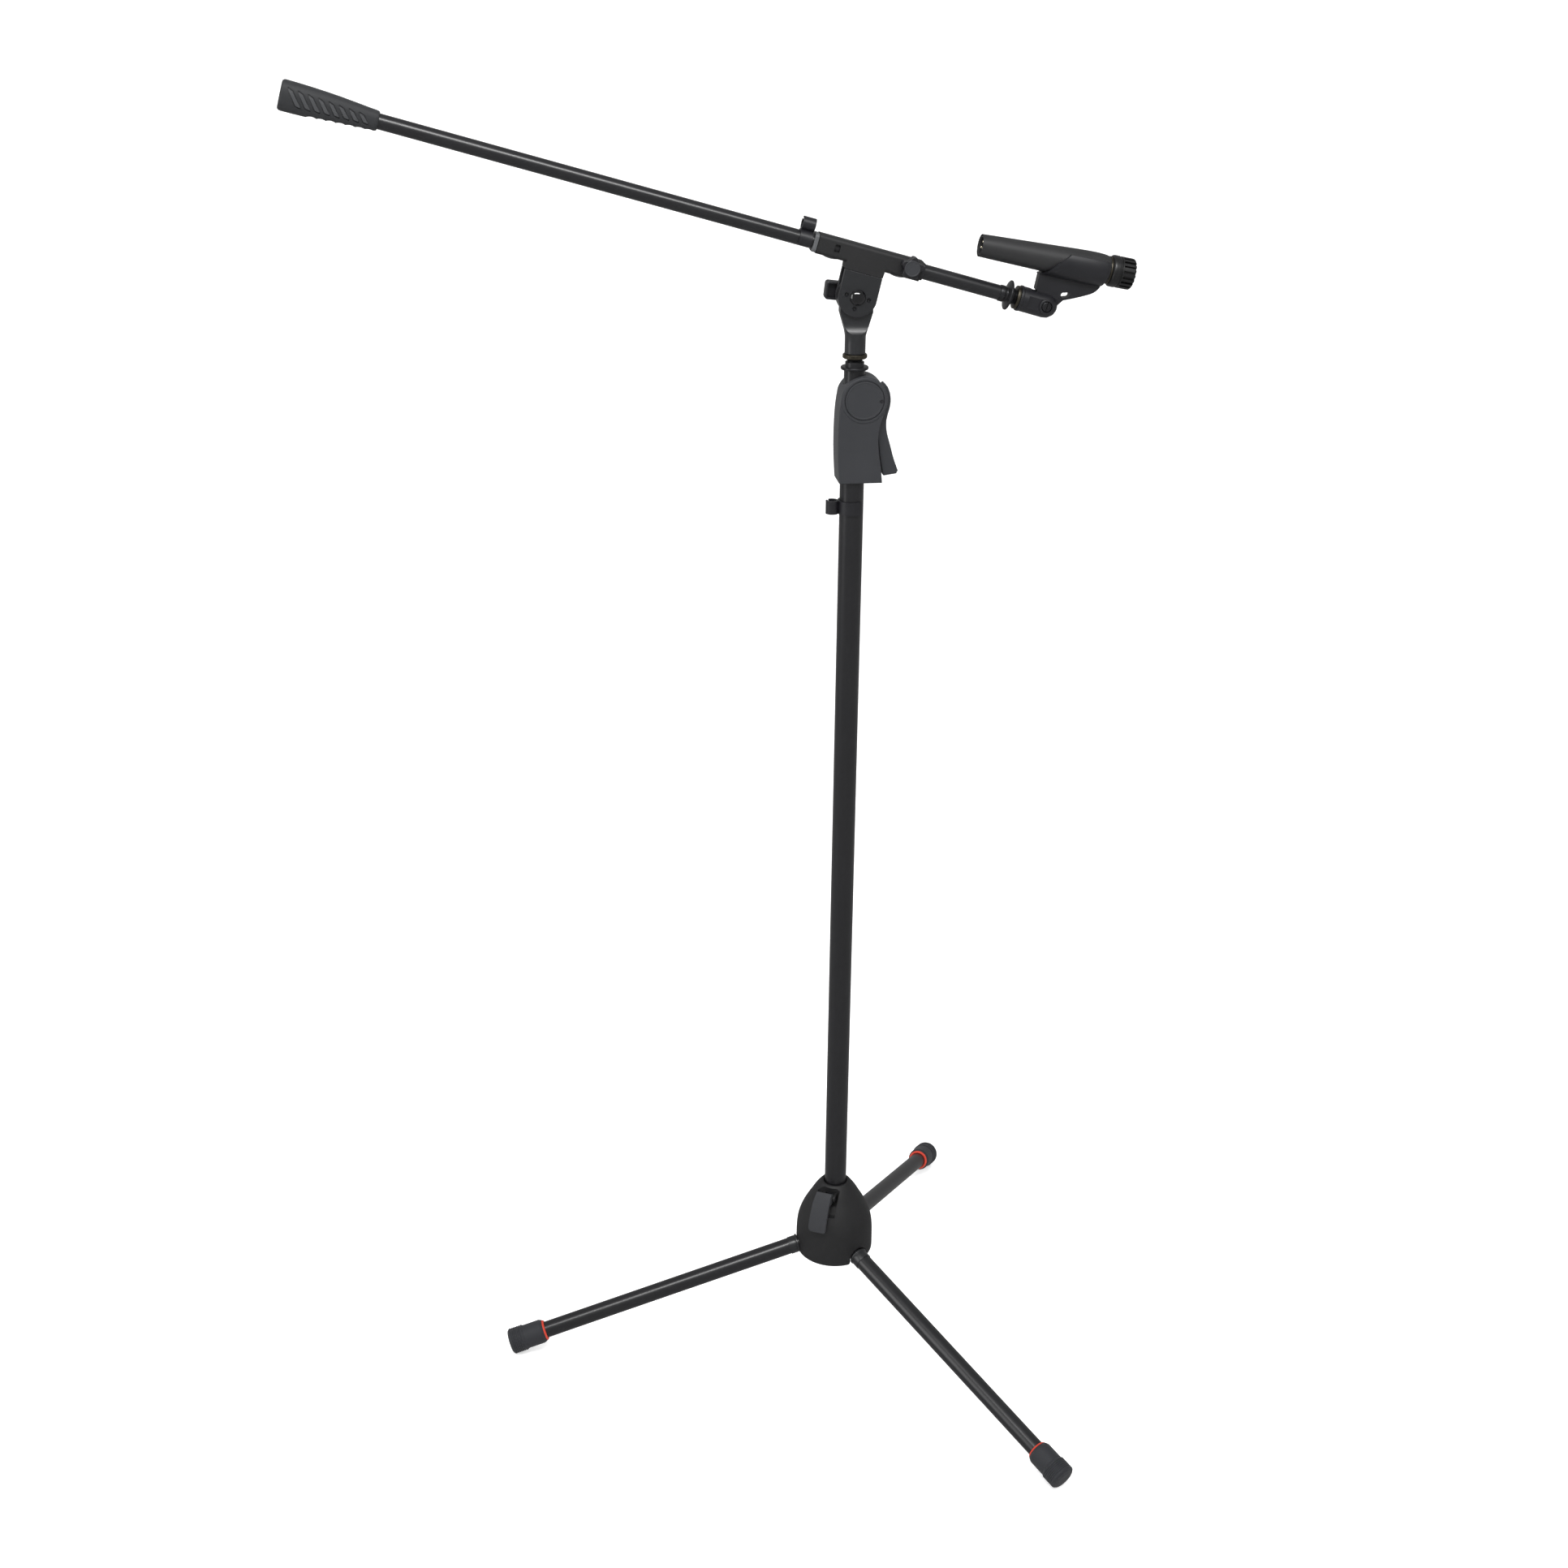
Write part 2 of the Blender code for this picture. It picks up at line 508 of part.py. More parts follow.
def make_clutch():
    """One-hand clutch: body bored for both tubes, cover disc, squeeze lever and its pin."""
    half = CLUTCH_HALF_DEPTH
    body = add_solid("clutch_body", slab(clutch_outline(), -half, half), SOFT_GREY)
    bevel(body, 3 * MM)
    lower = rod(COLUMN_R + SEAT_FIT, CLUTCH_BASE - 5 * MM, COLUMN_TOP + GAP, 28)
    boolean(body, add_solid("clutch_lower_bore", lower))
    upper = rod(MAST_R + SLIDE_FIT, COLUMN_TOP - 5 * MM, MAST_TOP + 6 * MM, STEPS_TUBE)
    boolean(body, add_solid("clutch_upper_bore", upper))
    side = LEVER_HALF_W + LEVER_SIDE_GAP
    low, high = (COLUMN_R + 1.8 * MM, -side, CLUTCH_BASE + 5 * MM), (60 * MM, side, CLUTCH_EYE[1] + 17 * MM)
    well = block(low, high)
    boolean(body, add_solid("clutch_lever_well", well))
    seat = rod(CLUTCH_DISC_R + PIN_FIT * 2, half - 1.4 * MM, half + 3 * MM, 32)
    eye = (CLUTCH_EYE[0], 0, CLUTCH_EYE[1])
    boolean(body, add_solid("clutch_disc_seat", seat, location=eye, rotation=(math.pi / 2, 0, 0)))
    disc = rod(CLUTCH_DISC_R, half - 1.4 * MM + GAP, half + 0.2 * MM, 32)
    add_solid("clutch_disc", disc, SOFT_GREY, location=eye, rotation=(math.pi / 2, 0, 0))
    pivot = add_frame("clutch_lever_axis", (LEVER_PIVOT[0], 0, LEVER_PIVOT[1]))
    pin_hole = rod(LEVER_PIN_R + PIN_FIT, -half + 2.2 * MM, half - 2.2 * MM, STEPS_PIN)
    boolean(body, add_solid("clutch_pin_hole", pin_hole, parent=pivot, rotation=(math.pi / 2, 0, 0)))
    pin = rod(LEVER_PIN_R, -half + 2.5 * MM, half - 2.5 * MM, STEPS_PIN)
    add_solid("clutch_pin", pin, STEEL, pivot, rotation=(math.pi / 2, 0, 0))
    # About the pin, whose boss stays in the body's head
    outline = in_mm([
        (5.1, -79.7), (19.3, -77.7), (20.7, -74.5), (15.6, -61.3), (11.8, -47.8), (8.7, -37.3), (7.2, -28.8),
        (7.2, -21.3), (8.7, -14.3), (10.5, -7.3), (11, -0.3), (9.9, 6.7), (7.5, 12.7), (4.6, 15.7),
        (1.1, 12.7), (-5.9, 7.7), (-8.9, -0.3), (-8.9, -8.3), (-5.9, -19.3), (-1.4, -39.3), (1.1, -59.3),
    ])
    lever = add_solid("clutch_lever", slab(outline, -LEVER_HALF_W, LEVER_HALF_W), SOFT_GREY, pivot)
    bevel(lever, 1.5 * MM)
    hole = rod(LEVER_PIN_R + PIN_FIT, -12 * MM, 12 * MM, STEPS_PIN)
    boolean(lever, add_solid("lever_bore", hole, parent=pivot, rotation=(math.pi / 2, 0, 0)))


def make_mast():
    """Height tube with the flanged thread stud in its head, and the knurled lock ring on the thread."""
    add_solid("upper_tube", tube(MAST_R, MAST_WALL, MAST_TOP - MAST_LENGTH, MAST_TOP), PAINTED_STEEL)
    inner = MAST_R - MAST_WALL - SEAT_FIT
    top = MAST_TOP + GAP
    rim, boss = STUD_FLANGE_R, STUD_R + 1.8 * MM
    profile = [(0, MAST_TOP - 25 * MM), (inner, MAST_TOP - 25 * MM), (inner, top), (rim - 0.65 * MM, top)]
    profile += [(rim, top + 0.7 * MM), (rim, top + 2.2 * MM), (rim - 0.65 * MM, top + 2.9 * MM)]
    profile += [(boss, top + 2.9 * MM), (boss, MAST_TOP + 8 * MM), (STUD_R, MAST_TOP + 8.6 * MM)]
    profile += [(STUD_R, STUD_TOP - 1 * MM), (STUD_R - 1 * MM, STUD_TOP), (0, STUD_TOP)]
    add_solid("thread_stud", turned(profile, STEPS_TUBE), STEEL)
    low, high = LOCK_RING_Z
    bore = STUD_R + SEAT_FIT
    ring = [(bore, low), (LOCK_RING_R - 0.6 * MM, low), (LOCK_RING_R, low + 0.6 * MM)]
    ring += [(LOCK_RING_R, high - 0.6 * MM), (LOCK_RING_R - 0.6 * MM, high), (bore, high)]
    add_solid("lock_ring", turned(ring, STEPS_TUBE, closed=True), STEEL)


def make_yoke():
    """Swivel yoke: round neck that screws on the stud, thinning to the flat tongue that the boom tilts on."""
    base = LOCK_RING_Z[1] + GAP
    r, thin = YOKE_NECK_R, TONGUE_HALF + 0.1 * MM
    neck = [(0, base), (r, base), (r, PIVOT_Z - 38 * MM), (r - 1 * MM, PIVOT_Z - 34 * MM)]
    neck += [(r - 3 * MM, PIVOT_Z - 30 * MM), (thin, PIVOT_Z - 25 * MM), (0, PIVOT_Z - 25 * MM)]
    yoke = add_solid("swivel_yoke", turned(neck, STEPS_TUBE), DIE_CAST)
    spread = EYE_R * math.cos(math.radians(32)) - YOKE_NECK_R
    curve = ((-0.05, -44), (0, -37), (0.216, -31.5), (0.597, -24), (1.012, -15.5))
    side = [(YOKE_NECK_R + share * spread, PIVOT_Z + up * MM) for share, up in curve]
    outline = side + arc((0, PIVOT_Z), EYE_R, -32, 212, 21) + [(-x, z) for x, z in reversed(side)]
    boolean(yoke, add_solid("yoke_tongue", slab(outline, -TONGUE_HALF, TONGUE_HALF)), "UNION")
    thread = rod(STUD_R + SEAT_FIT, base - 5 * MM, STUD_TOP + GAP, STEPS_TUBE)
    boolean(yoke, add_solid("yoke_thread_bore", thread))
    hole = rod(BOLT_R + PIN_FIT, -9 * MM, 9 * MM)
    eye = {"location": (0, 0, PIVOT_Z), "rotation": (math.pi / 2, 0, 0)}
    boolean(yoke, add_solid("yoke_eye", hole, **eye))


def make_holder(tilt):
    """Boom holder: square sleeve with a lug, two cheek plates, bushes, pivot bolt and cable clip."""
    left, right = HOLDER_ENDS
    half = HOLDER_HALF
    lean = {"parent": tilt, "rotation": (0, math.pi / 2, 0), "location": (0, 0, BOOM_RISE)}
    sleeve = block((left, -half, BOOM_RISE - half), (right, half, BOOM_RISE + half))
    holder = add_solid("boom_holder", sleeve, BLACK_PLASTIC, tilt)
    bevel(holder, 3.4 * MM, 3)
    foot = SEAM_HEIGHT + GAP
    lug = [(-EYE_R - 1.2 * MM, foot), (EYE_R - 1 * MM, foot), (EYE_R - 0.6 * MM, BOOM_RISE)]
    lug += [(-EYE_R - 1.8 * MM, BOOM_RISE)]
    boolean(holder, add_solid("holder_lug", slab(lug, -half, half), parent=tilt), "UNION")
    boolean(holder, add_solid("holder_bore", rod(BOOM_R + SLIDE_FIT, left * 2, right * 2, STEPS_TUBE), **lean))
    low = (left + 17 * MM, -half - 2 * MM, BOOM_RISE - 3.6 * MM)
    high = (left + 22.5 * MM, -half + 1.6 * MM, BOOM_RISE + 4.4 * MM)
    window = block(low, high)
    boolean(holder, add_solid("holder_window", window, parent=tilt))
    thread = rod(KNOB_SCREW_R + 0.2 * MM, half - 5 * MM, half + 2 * MM, STEPS_PIN)
    knob = {"parent": tilt, "location": (KNOB_AT[0], 0, KNOB_AT[1]), "rotation": (math.pi / 2, 0, 0)}
    boolean(holder, add_solid("knob_hole", thread, **knob))
    make_end_bushes(tilt, left, right)
    make_cheeks(tilt)
    frame = add_frame("boom_clip_frame", (left - 13 * MM, 0, BOOM_RISE), (0, -math.pi / 2, 0), tilt)
    cable_clip("boom_cable_clip", frame, BOOM_R, BOOM_R + 7.5 * MM, CABLE_CLIP_W)


def make_end_bushes(tilt, left, right):
    """The sleeve's end pieces: a grey guide bush on the left and a thin cap on the right."""
    half = HOLDER_HALF
    lean = {"parent": tilt, "rotation": (0, math.pi / 2, 0), "location": (0, 0, BOOM_RISE)}
    ends = (("holder_bush_left", left - 4.5 * MM, left - GAP, half - 0.6 * MM, SOFT_GREY),)
    ends += (("holder_cap_right", right + GAP, right + 3 * MM, half - 1.4 * MM, BLACK_PLASTIC),)
    for name, low, high, size, finish in ends:
        body = block((low, -size, BOOM_RISE - size), (high, size, BOOM_RISE + size))
        piece = add_solid(name, body, finish, tilt)
        bevel(piece, 1.2 * MM)
        bore = rod(BOOM_R + SLIDE_FIT, low - 5 * MM, high + 5 * MM, STEPS_TUBE)
        boolean(piece, add_solid(f"{name}_bore", bore, **lean))


def make_cheeks(tilt):
    """Two cheek plates that clamp the yoke's tongue, and the domed bolt through them."""
    outline = [(-EYE_R - 1.2 * MM, SEAM_HEIGHT), (-EYE_R - 0.2 * MM, 4 * MM)]
    outline += arc((0, 0), EYE_R + 0.3 * MM, 184, 356, 19)
    outline += [(EYE_R, 4 * MM), (EYE_R - 1 * MM, SEAM_HEIGHT)]
    inner = TONGUE_HALF + GAP
    for name, low, high in (("cheek_front", -HOLDER_HALF, -inner), ("cheek_rear", inner, HOLDER_HALF)):
        cheek = add_solid(name, slab(outline, low, high), DIE_CAST, tilt)
        hole = rod(BOLT_R + PIN_FIT, -15 * MM, 15 * MM)
        boolean(cheek, add_solid(f"{name}_hole", hole, parent=tilt, rotation=(math.pi / 2, 0, 0)))
        if name == "cheek_front":
            for index, angle in enumerate((180, 0, 270)):
                turn = math.radians(angle)
                spot = (11.6 * MM * math.cos(turn), 0, 11.6 * MM * math.sin(turn))
                dimple = rod(1.8 * MM, HOLDER_HALF - 2.2 * MM, HOLDER_HALF + 2 * MM, STEPS_PIN)
                boolean(cheek, add_solid(f"dimple_{index}", dimple, None, tilt, spot, (math.pi / 2, 0, 0)))
    face = HOLDER_HALF + GAP
    rim, tail = BOLT_R + 4 * MM, -HOLDER_HALF - 13 * MM
    dome = [(0, face + 4.4 * MM), (rim - 4.6 * MM, face + 4 * MM), (rim - 1.8 * MM, face + 2.8 * MM)]
    dome += [(rim, face + 0.8 * MM), (rim, face), (BOLT_R, face), (BOLT_R, tail), (0, tail)]
    add_solid("pivot_bolt", turned(dome), BLACK_CHROME, tilt, rotation=(math.pi / 2, 0, 0))


def make_tee_handle(tilt):
    """Clamp handle on the bolt's rear end: a boss with a bar to one side."""
    face = HOLDER_HALF + GAP
    boss = rod(BOLT_R + 5 * MM, -face - 6 * MM, -face)
    handle = add_solid("tee_handle", boss, BLACK_PLASTIC, tilt, rotation=(math.pi / 2, 0, 0))
    bar = in_mm([(-26, -9), (12, -9), (15, -6), (15, 6), (12, 9), (-26, 9), (-29, 6.5), (-29, -6.5)])
    boolean(handle, add_solid("tee_bar", slab(bar, face + 4 * MM, face + 16 * MM), parent=tilt), "UNION")
    bore = rod(BOLT_R + PIN_FIT, -face - 13.2 * MM, -face + 2 * MM)
    boolean(handle, add_solid("tee_bore", bore, parent=tilt, rotation=(math.pi / 2, 0, 0)))


def make_boom_knob(tilt):
    """Lobed knob that locks the boom, with a screw into the sleeve and a round cover."""
    axis = add_frame("boom_knob_axis", (KNOB_AT[0], -HOLDER_HALF - GAP, KNOB_AT[1]), parent=tilt)
    outline = []
    for lobe in range(5):
        middle = 72 * lobe + 18
        outline += arc((0, 0), 10.6 * MM, middle - 12, middle + 12, 4)
        outline += arc((0, 0), 8 * MM, middle + 30, middle + 42, 2)
    depth = 9.5 * MM
    knob = add_solid("boom_lock_knob", slab(outline, -depth, 0), BLACK_PLASTIC, axis)
    reach = HOLDER_HALF - BOOM_R - SLIDE_FIT
    screw = rod(KNOB_SCREW_R, -reach, 4 * MM, STEPS_PIN)
    boolean(knob, add_solid("knob_screw", screw, parent=axis, rotation=(math.pi / 2, 0, 0)), "UNION")
    low, top = depth + GAP, depth + 1.9 * MM
    section = [(0, low), (9 * MM, low), (9 * MM, top - 0.8 * MM), (8.2 * MM, top), (0, top)]
    cover = turned(section)
    add_solid("boom_knob_cover", cover, SOFT_GREY, axis, rotation=(math.pi / 2, 0, 0))


def grip_section(x, half_height, half_width, count=24):
    """One rounded section of the grip, square to the boom."""
    ring = []
    for i in range(count):
        a = math.tau * i / count
        c, s = math.cos(a), math.sin(a)
        squareness = (abs(c) ** 2.6 + abs(s) ** 2.6) ** (-1 / 2.6)
        ring.append((x, half_width * c * squareness, half_height * s * squareness))
    return ring


def loft(sections):
    """Skin between matching rings of points, closed with a face at each end."""
    bm = bmesh.new()
    rings = [[bm.verts.new(point) for point in ring] for ring in sections]
    count = len(rings[0])
    for near, far in zip(rings, rings[1:]):
        for i in range(count):
            bm.faces.new((near[i], near[(i + 1) % count], far[(i + 1) % count], far[i]))
    bm.faces.new(rings[0])
    bm.faces.new(rings[-1])
    return bm


def make_boom(tilt):
    """Boom tube with its counterweight grip and its flanged thread at the microphone end."""
    lean = {"parent": tilt, "rotation": (0, math.pi / 2, 0), "location": (0, 0, BOOM_RISE)}
    add_solid("boom_tube", tube(BOOM_R, BOOM_WALL, *BOOM_ENDS), PAINTED_STEEL, **lean)
    outer = BOOM_ENDS[0] - 2.5 * MM
    inner = outer + GRIP_LENGTH
    # Share of the grip's length, then how far its top and its sides stand off the tube
    stations = ((0, 5.7, 2.9), (0.025, 6.5, 3.5), (0.3, 5.7, 3.4), (0.6, 4.1, 2.7), (0.9, 2.1, 1.9))
    stations += ((0.975, 1.7, 1.7), (1, 1.1, 1.1))
    sections = [
        grip_section(outer + GRIP_LENGTH * share, BOOM_R + up * MM, BOOM_R + out * MM)
        for share, up, out in stations
    ]
    grip = add_solid("boom_grip", loft(sections), RUBBER, tilt, (0, 0, BOOM_RISE))
    bore = rod(BOOM_R + SEAT_FIT, BOOM_ENDS[0] - GAP, inner + 5 * MM, STEPS_TUBE)
    boolean(grip, add_solid("grip_bore", bore, **lean))
    core = BOOM_R - BOOM_WALL - SEAT_FIT
    end, collar = BOOM_ENDS[1] + GAP, BOOM_R + 0.7 * MM
    flange, rim, half = TIP_FLANGE_X, TIP_FLANGE_R, 1.2 * MM
    profile = [(0, end - 22 * MM), (core, end - 22 * MM), (core, end), (collar - 0.2 * MM, end)]
    profile += [(collar, end + 1 * MM), (collar, flange - half), (rim - 0.5 * MM, flange - half)]
    profile += [(rim, flange - half / 2), (rim, flange + half / 2), (rim - 0.5 * MM, flange + half)]
    profile += [(STUD_R, flange + half), (STUD_R, flange + 18 * MM), (0, flange + 18 * MM)]
    add_solid("boom_tip", turned(profile), STEEL, **lean)


def make_clip(tilt):
    """Microphone clip: brass insert, slotted base and pivot screw, and the cradle that tilts on them."""
    lean = {"parent": tilt, "rotation": (0, math.pi / 2, 0), "location": (0, 0, BOOM_RISE)}
    mouth, pivot = CLIP_MOUTH_X, CLIP_PIVOT_X
    bore = STUD_R + SEAT_FIT
    rim = CLIP_R - 1.2 * MM
    insert = [(bore, mouth - 3.4 * MM), (rim, mouth - 3.4 * MM), (rim, mouth - GAP), (INSERT_R, mouth - GAP)]
    insert += [(INSERT_R, mouth + 9 * MM), (bore, mouth + 9 * MM)]
    add_solid("clip_insert", turned(insert, STEPS_TUBE, closed=True), BRASS, **lean)
    end = pivot + 13 * MM
    seat_r, depth = INSERT_R + SEAT_FIT, mouth + 9.6 * MM
    shell = [(0, depth), (seat_r, depth), (seat_r, mouth)]
    shell += [(CLIP_R, mouth), (CLIP_R, pivot + 2 * MM), (CLIP_R - 1.4 * MM, pivot + 7 * MM)]
    shell += [(CLIP_R - 4.6 * MM, pivot + 11 * MM), (CLIP_R - 8.5 * MM, end), (0, end)]
    base = add_solid("clip_base", turned(shell, STEPS_TUBE), BLACK_PLASTIC, **lean)
    half = CLIP_SLOT_HALF
    floor = BOOM_RISE - CLIP_EYE_R - 1.9 * MM
    slot = block((pivot - 18 * MM, -half, floor), (end + 5 * MM, half, BOOM_RISE + CLIP_R + 7 * MM))
    boolean(base, add_solid("clip_slot", slot, parent=tilt))
    axis = {"parent": tilt, "location": (pivot, 0, BOOM_RISE), "rotation": (math.pi / 2, 0, 0)}
    hole = rod(CLIP_SCREW_R + PIN_FIT, -CLIP_R - 3 * MM, CLIP_R + 3 * MM, STEPS_PIN)
    boolean(base, add_solid("clip_screw_hole", hole, **axis))
    seat = rod(CLIP_HEAD_R + 0.8 * MM, CLIP_R - 3 * MM, CLIP_R + 4 * MM)
    boolean(base, add_solid("clip_head_seat", seat, **axis))
    face = CLIP_R - 3 * MM + GAP
    head = CLIP_HEAD_R
    screw = [(0, face + 2.6 * MM), (head - 0.8 * MM, face + 2.6 * MM), (head, face + 1.8 * MM), (head, face)]
    screw += [(CLIP_SCREW_R, face), (CLIP_SCREW_R, -CLIP_R + 1 * MM), (0, -CLIP_R + 1 * MM)]
    add_solid("clip_screw", turned(screw), BLACK_CHROME, **axis)
    make_cradle(add_frame("clip_tilt_axis", (pivot, 0, BOOM_RISE), (0, MIC_TILT - BOOM_TILT, 0), tilt))


# The handle from its rear end: station, and how much narrower than HANDLE_R it is there
HANDLE_CURVE = (
    (0, 5.6 * MM), (1.6 * MM, 4.3 * MM), (4.5 * MM, 3.8 * MM), (HANDLE_LENGTH - 74 * MM, 1.8 * MM),
    (HANDLE_LENGTH - 34 * MM, 0.3 * MM), (HANDLE_LENGTH - 16 * MM, 0), (HANDLE_LENGTH - 6 * MM, 0.5 * MM),
    (HANDLE_LENGTH, 1.6 * MM),
)


def mic_radius(station):
    """Outer radius of the microphone's handle at a distance from its rear end."""
    for (near, less_near), (far, less_far) in zip(HANDLE_CURVE, HANDLE_CURVE[1:]):
        if station <= far:
            return HANDLE_R - less_near - (less_far - less_near) * (station - near) / (far - near)
    return HANDLE_R - HANDLE_CURVE[-1][1]


def make_cradle(axis):
    """Cradle: tapered sleeve open along its top and cut back at its mouth, on a web with an eye."""
    near, far = CRADLE_FAR - CRADLE_LENGTH, CRADLE_FAR
    stations = [near, near + 16 * MM, near + 36 * MM, near + 54 * MM, far]
    gap = SLIDE_FIT
    widest = max(mic_radius(station) for station in stations)
    outer = [(mic_radius(s) + gap + CRADLE_WALL, s) for s in stations]
    bore, radius = [], 0
    for station in stations:
        radius = max(radius, mic_radius(station) + gap)
        bore.append((radius, station))
    place = {"parent": axis, "location": (-MIC_BACK, 0, MIC_RISE), "rotation": (0, math.pi / 2, 0)}
    sleeve = turned([(0, near)] + outer + [(0, far)], STEPS_TUBE)
    cradle = add_solid("clip_cradle", sleeve, BLACK_PLASTIC, **place)
    # The web's edges: along the microphone from the hinge, and below the microphone's axis
    under = ((17, 37.5), (26.2, 34), (37, 29.4), (45.8, 24.8), (50.5, 19.5), (52, 15), (52, 8), (-13.4, 8))
    web = arc((0, 0), CLIP_EYE_R, 200, 330, 9) + [(12 * MM, 2 * MM)]
    web += [(along * MM, MIC_RISE - below * MM) for along, below in under]
    web += in_mm([(-13.4, 14.4), (-9.6, 11)])
    half = CLIP_SLOT_HALF - GAP
    boolean(cradle, add_solid("cradle_web", slab(web, -half, half), parent=axis), "UNION")
    hollow = [(0, near - 4 * MM), (bore[0][0], near - 4 * MM)] + bore
    hollow += [(bore[-1][0], far + 4 * MM), (0, far + 4 * MM)]
    boolean(cradle, add_solid("cradle_bore", turned(hollow, STEPS_TUBE), **place))
    slant = [(near - 30 * MM, -2 * MM), (near - 1 * MM, -HANDLE_R - 0.8 * MM), (near + 29 * MM, 13 * MM)]
    slant += [(near + 33 * MM, 30 * MM), (near - 30 * MM, 30 * MM)]
    level = {"parent": axis, "location": (-MIC_BACK, 0, MIC_RISE)}
    boolean(cradle, add_solid("cradle_mouth", slab(slant, -40 * MM, 40 * MM), **level))
    top = block((near - 5 * MM, -30 * MM, widest * 0.62), (far + 5 * MM, 30 * MM, 40 * MM))
    boolean(cradle, add_solid("cradle_top", top, **level))
    window = arc((16 * MM, MIC_RISE - 32.4 * MM), 2.6 * MM, 90, 270, 7)
    window += arc((20 * MM, MIC_RISE - 31.4 * MM), 2.6 * MM, -90, 90, 7)
    boolean(cradle, add_solid("cradle_window", slab(window, -40 * MM, 40 * MM), parent=axis))
    eye = rod(CLIP_SCREW_R + PIN_FIT, -15 * MM, 15 * MM, STEPS_PIN)
    boolean(cradle, add_solid("cradle_eye", eye, parent=axis, rotation=(math.pi / 2, 0, 0)))
    make_microphone(place)


def make_microphone(place):
    """Microphone: tapered handle with a recessed plug socket, tinted ring, collar and slotted head."""
    socket_r, socket_depth = HANDLE_R - 6.8 * MM, 16 * MM
    handle = [(0, socket_depth), (socket_r, socket_depth), (socket_r, 0)]
    handle += [(HANDLE_R - less, station) for station, less in HANDLE_CURVE] + [(0, HANDLE_LENGTH)]
    add_solid("mic_body", turned(handle, STEPS_TUBE), MIC_ENAMEL, **place)
    base = socket_depth - GAP
    plug = rod(socket_r - SEAT_FIT, 11 * MM, base)
    socket = add_solid("mic_connector", plug, BLACK_PLASTIC, **place)
    frame = place["parent"]
    for index, angle in enumerate((90, 210, 330)):
        across = (4 * MM * math.cos(math.radians(angle)), 4 * MM * math.sin(math.radians(angle)))
        spot = (-MIC_BACK, across[0], MIC_RISE + across[1])
        contact = rod(1.2 * MM, 3 * MM, 12.5 * MM, 12)
        boolean(socket, add_solid(f"contact_{index}", contact, None, frame, spot, (0, math.pi / 2, 0)), "UNION")
    ring_low = HANDLE_LENGTH + GAP
    ring = rod(HANDLE_R - 1.3 * MM, ring_low, ring_low + 1.9 * MM, STEPS_TUBE)
    add_solid("mic_ring", ring, BRASS, **place)
    low = ring_low + 1.9 * MM + GAP
    wide, high = MIC_HEAD_R, MIC_LENGTH - 15 * MM
    collar = [(0, low), (wide - 1.1 * MM, low), (wide, low + 1.2 * MM), (wide, high - 0.6 * MM)]
    collar += [(wide - 0.3 * MM, high), (0, high)]
    add_solid("mic_collar", turned(collar, STEPS_TUBE), BLACK_PLASTIC, **place)
    start, front = high + GAP, MIC_LENGTH - 1 * MM
    core = [(0, start), (wide - 1.9 * MM, start), (wide - 1.9 * MM, front - 1.4 * MM)]
    core += [(wide - 4.9 * MM, front), (0, front)]
    head = add_solid("mic_grille", turned(core, STEPS_TUBE), BLACK_PLASTIC, **place)
    ribs = []
    for rib in range(16):
        middle = 22.5 * rib
        ribs += arc((0, 0), wide - 0.4 * MM, middle - 5, middle + 5, 2)
        ribs += arc((0, 0), wide - 2.9 * MM, middle + 7, middle + 15.5, 2)
    boolean(head, add_solid("grille_ribs", plate(ribs, start, MIC_LENGTH), **place), "UNION")


def main():
    clear_scene()
    make_hub()
    make_latch()
    for index, azimuth in enumerate(LEG_AZIMUTHS, 1):
        make_leg(index, azimuth)
    make_column()
    make_clutch()
    make_mast()
    make_yoke()
    tilt = add_frame("boom_tilt_axis", (0, 0, PIVOT_Z), (0, BOOM_TILT, 0))
    make_holder(tilt)
    make_tee_handle(tilt)
    make_boom_knob(tilt)
    make_boom(tilt)
    make_clip(tilt)


main()
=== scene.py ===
"""Looks of the boom microphone stand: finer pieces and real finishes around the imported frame.

Lengths are millimetres on the bench, where each piece is made along its own axes; a piece is brought to the
frame's metres when it is put in its place.
"""

import json
import logging
import math
from dataclasses import dataclass
from enum import Enum
from typing import Iterable, Sequence

import bpy
from mathutils import Matrix, Vector

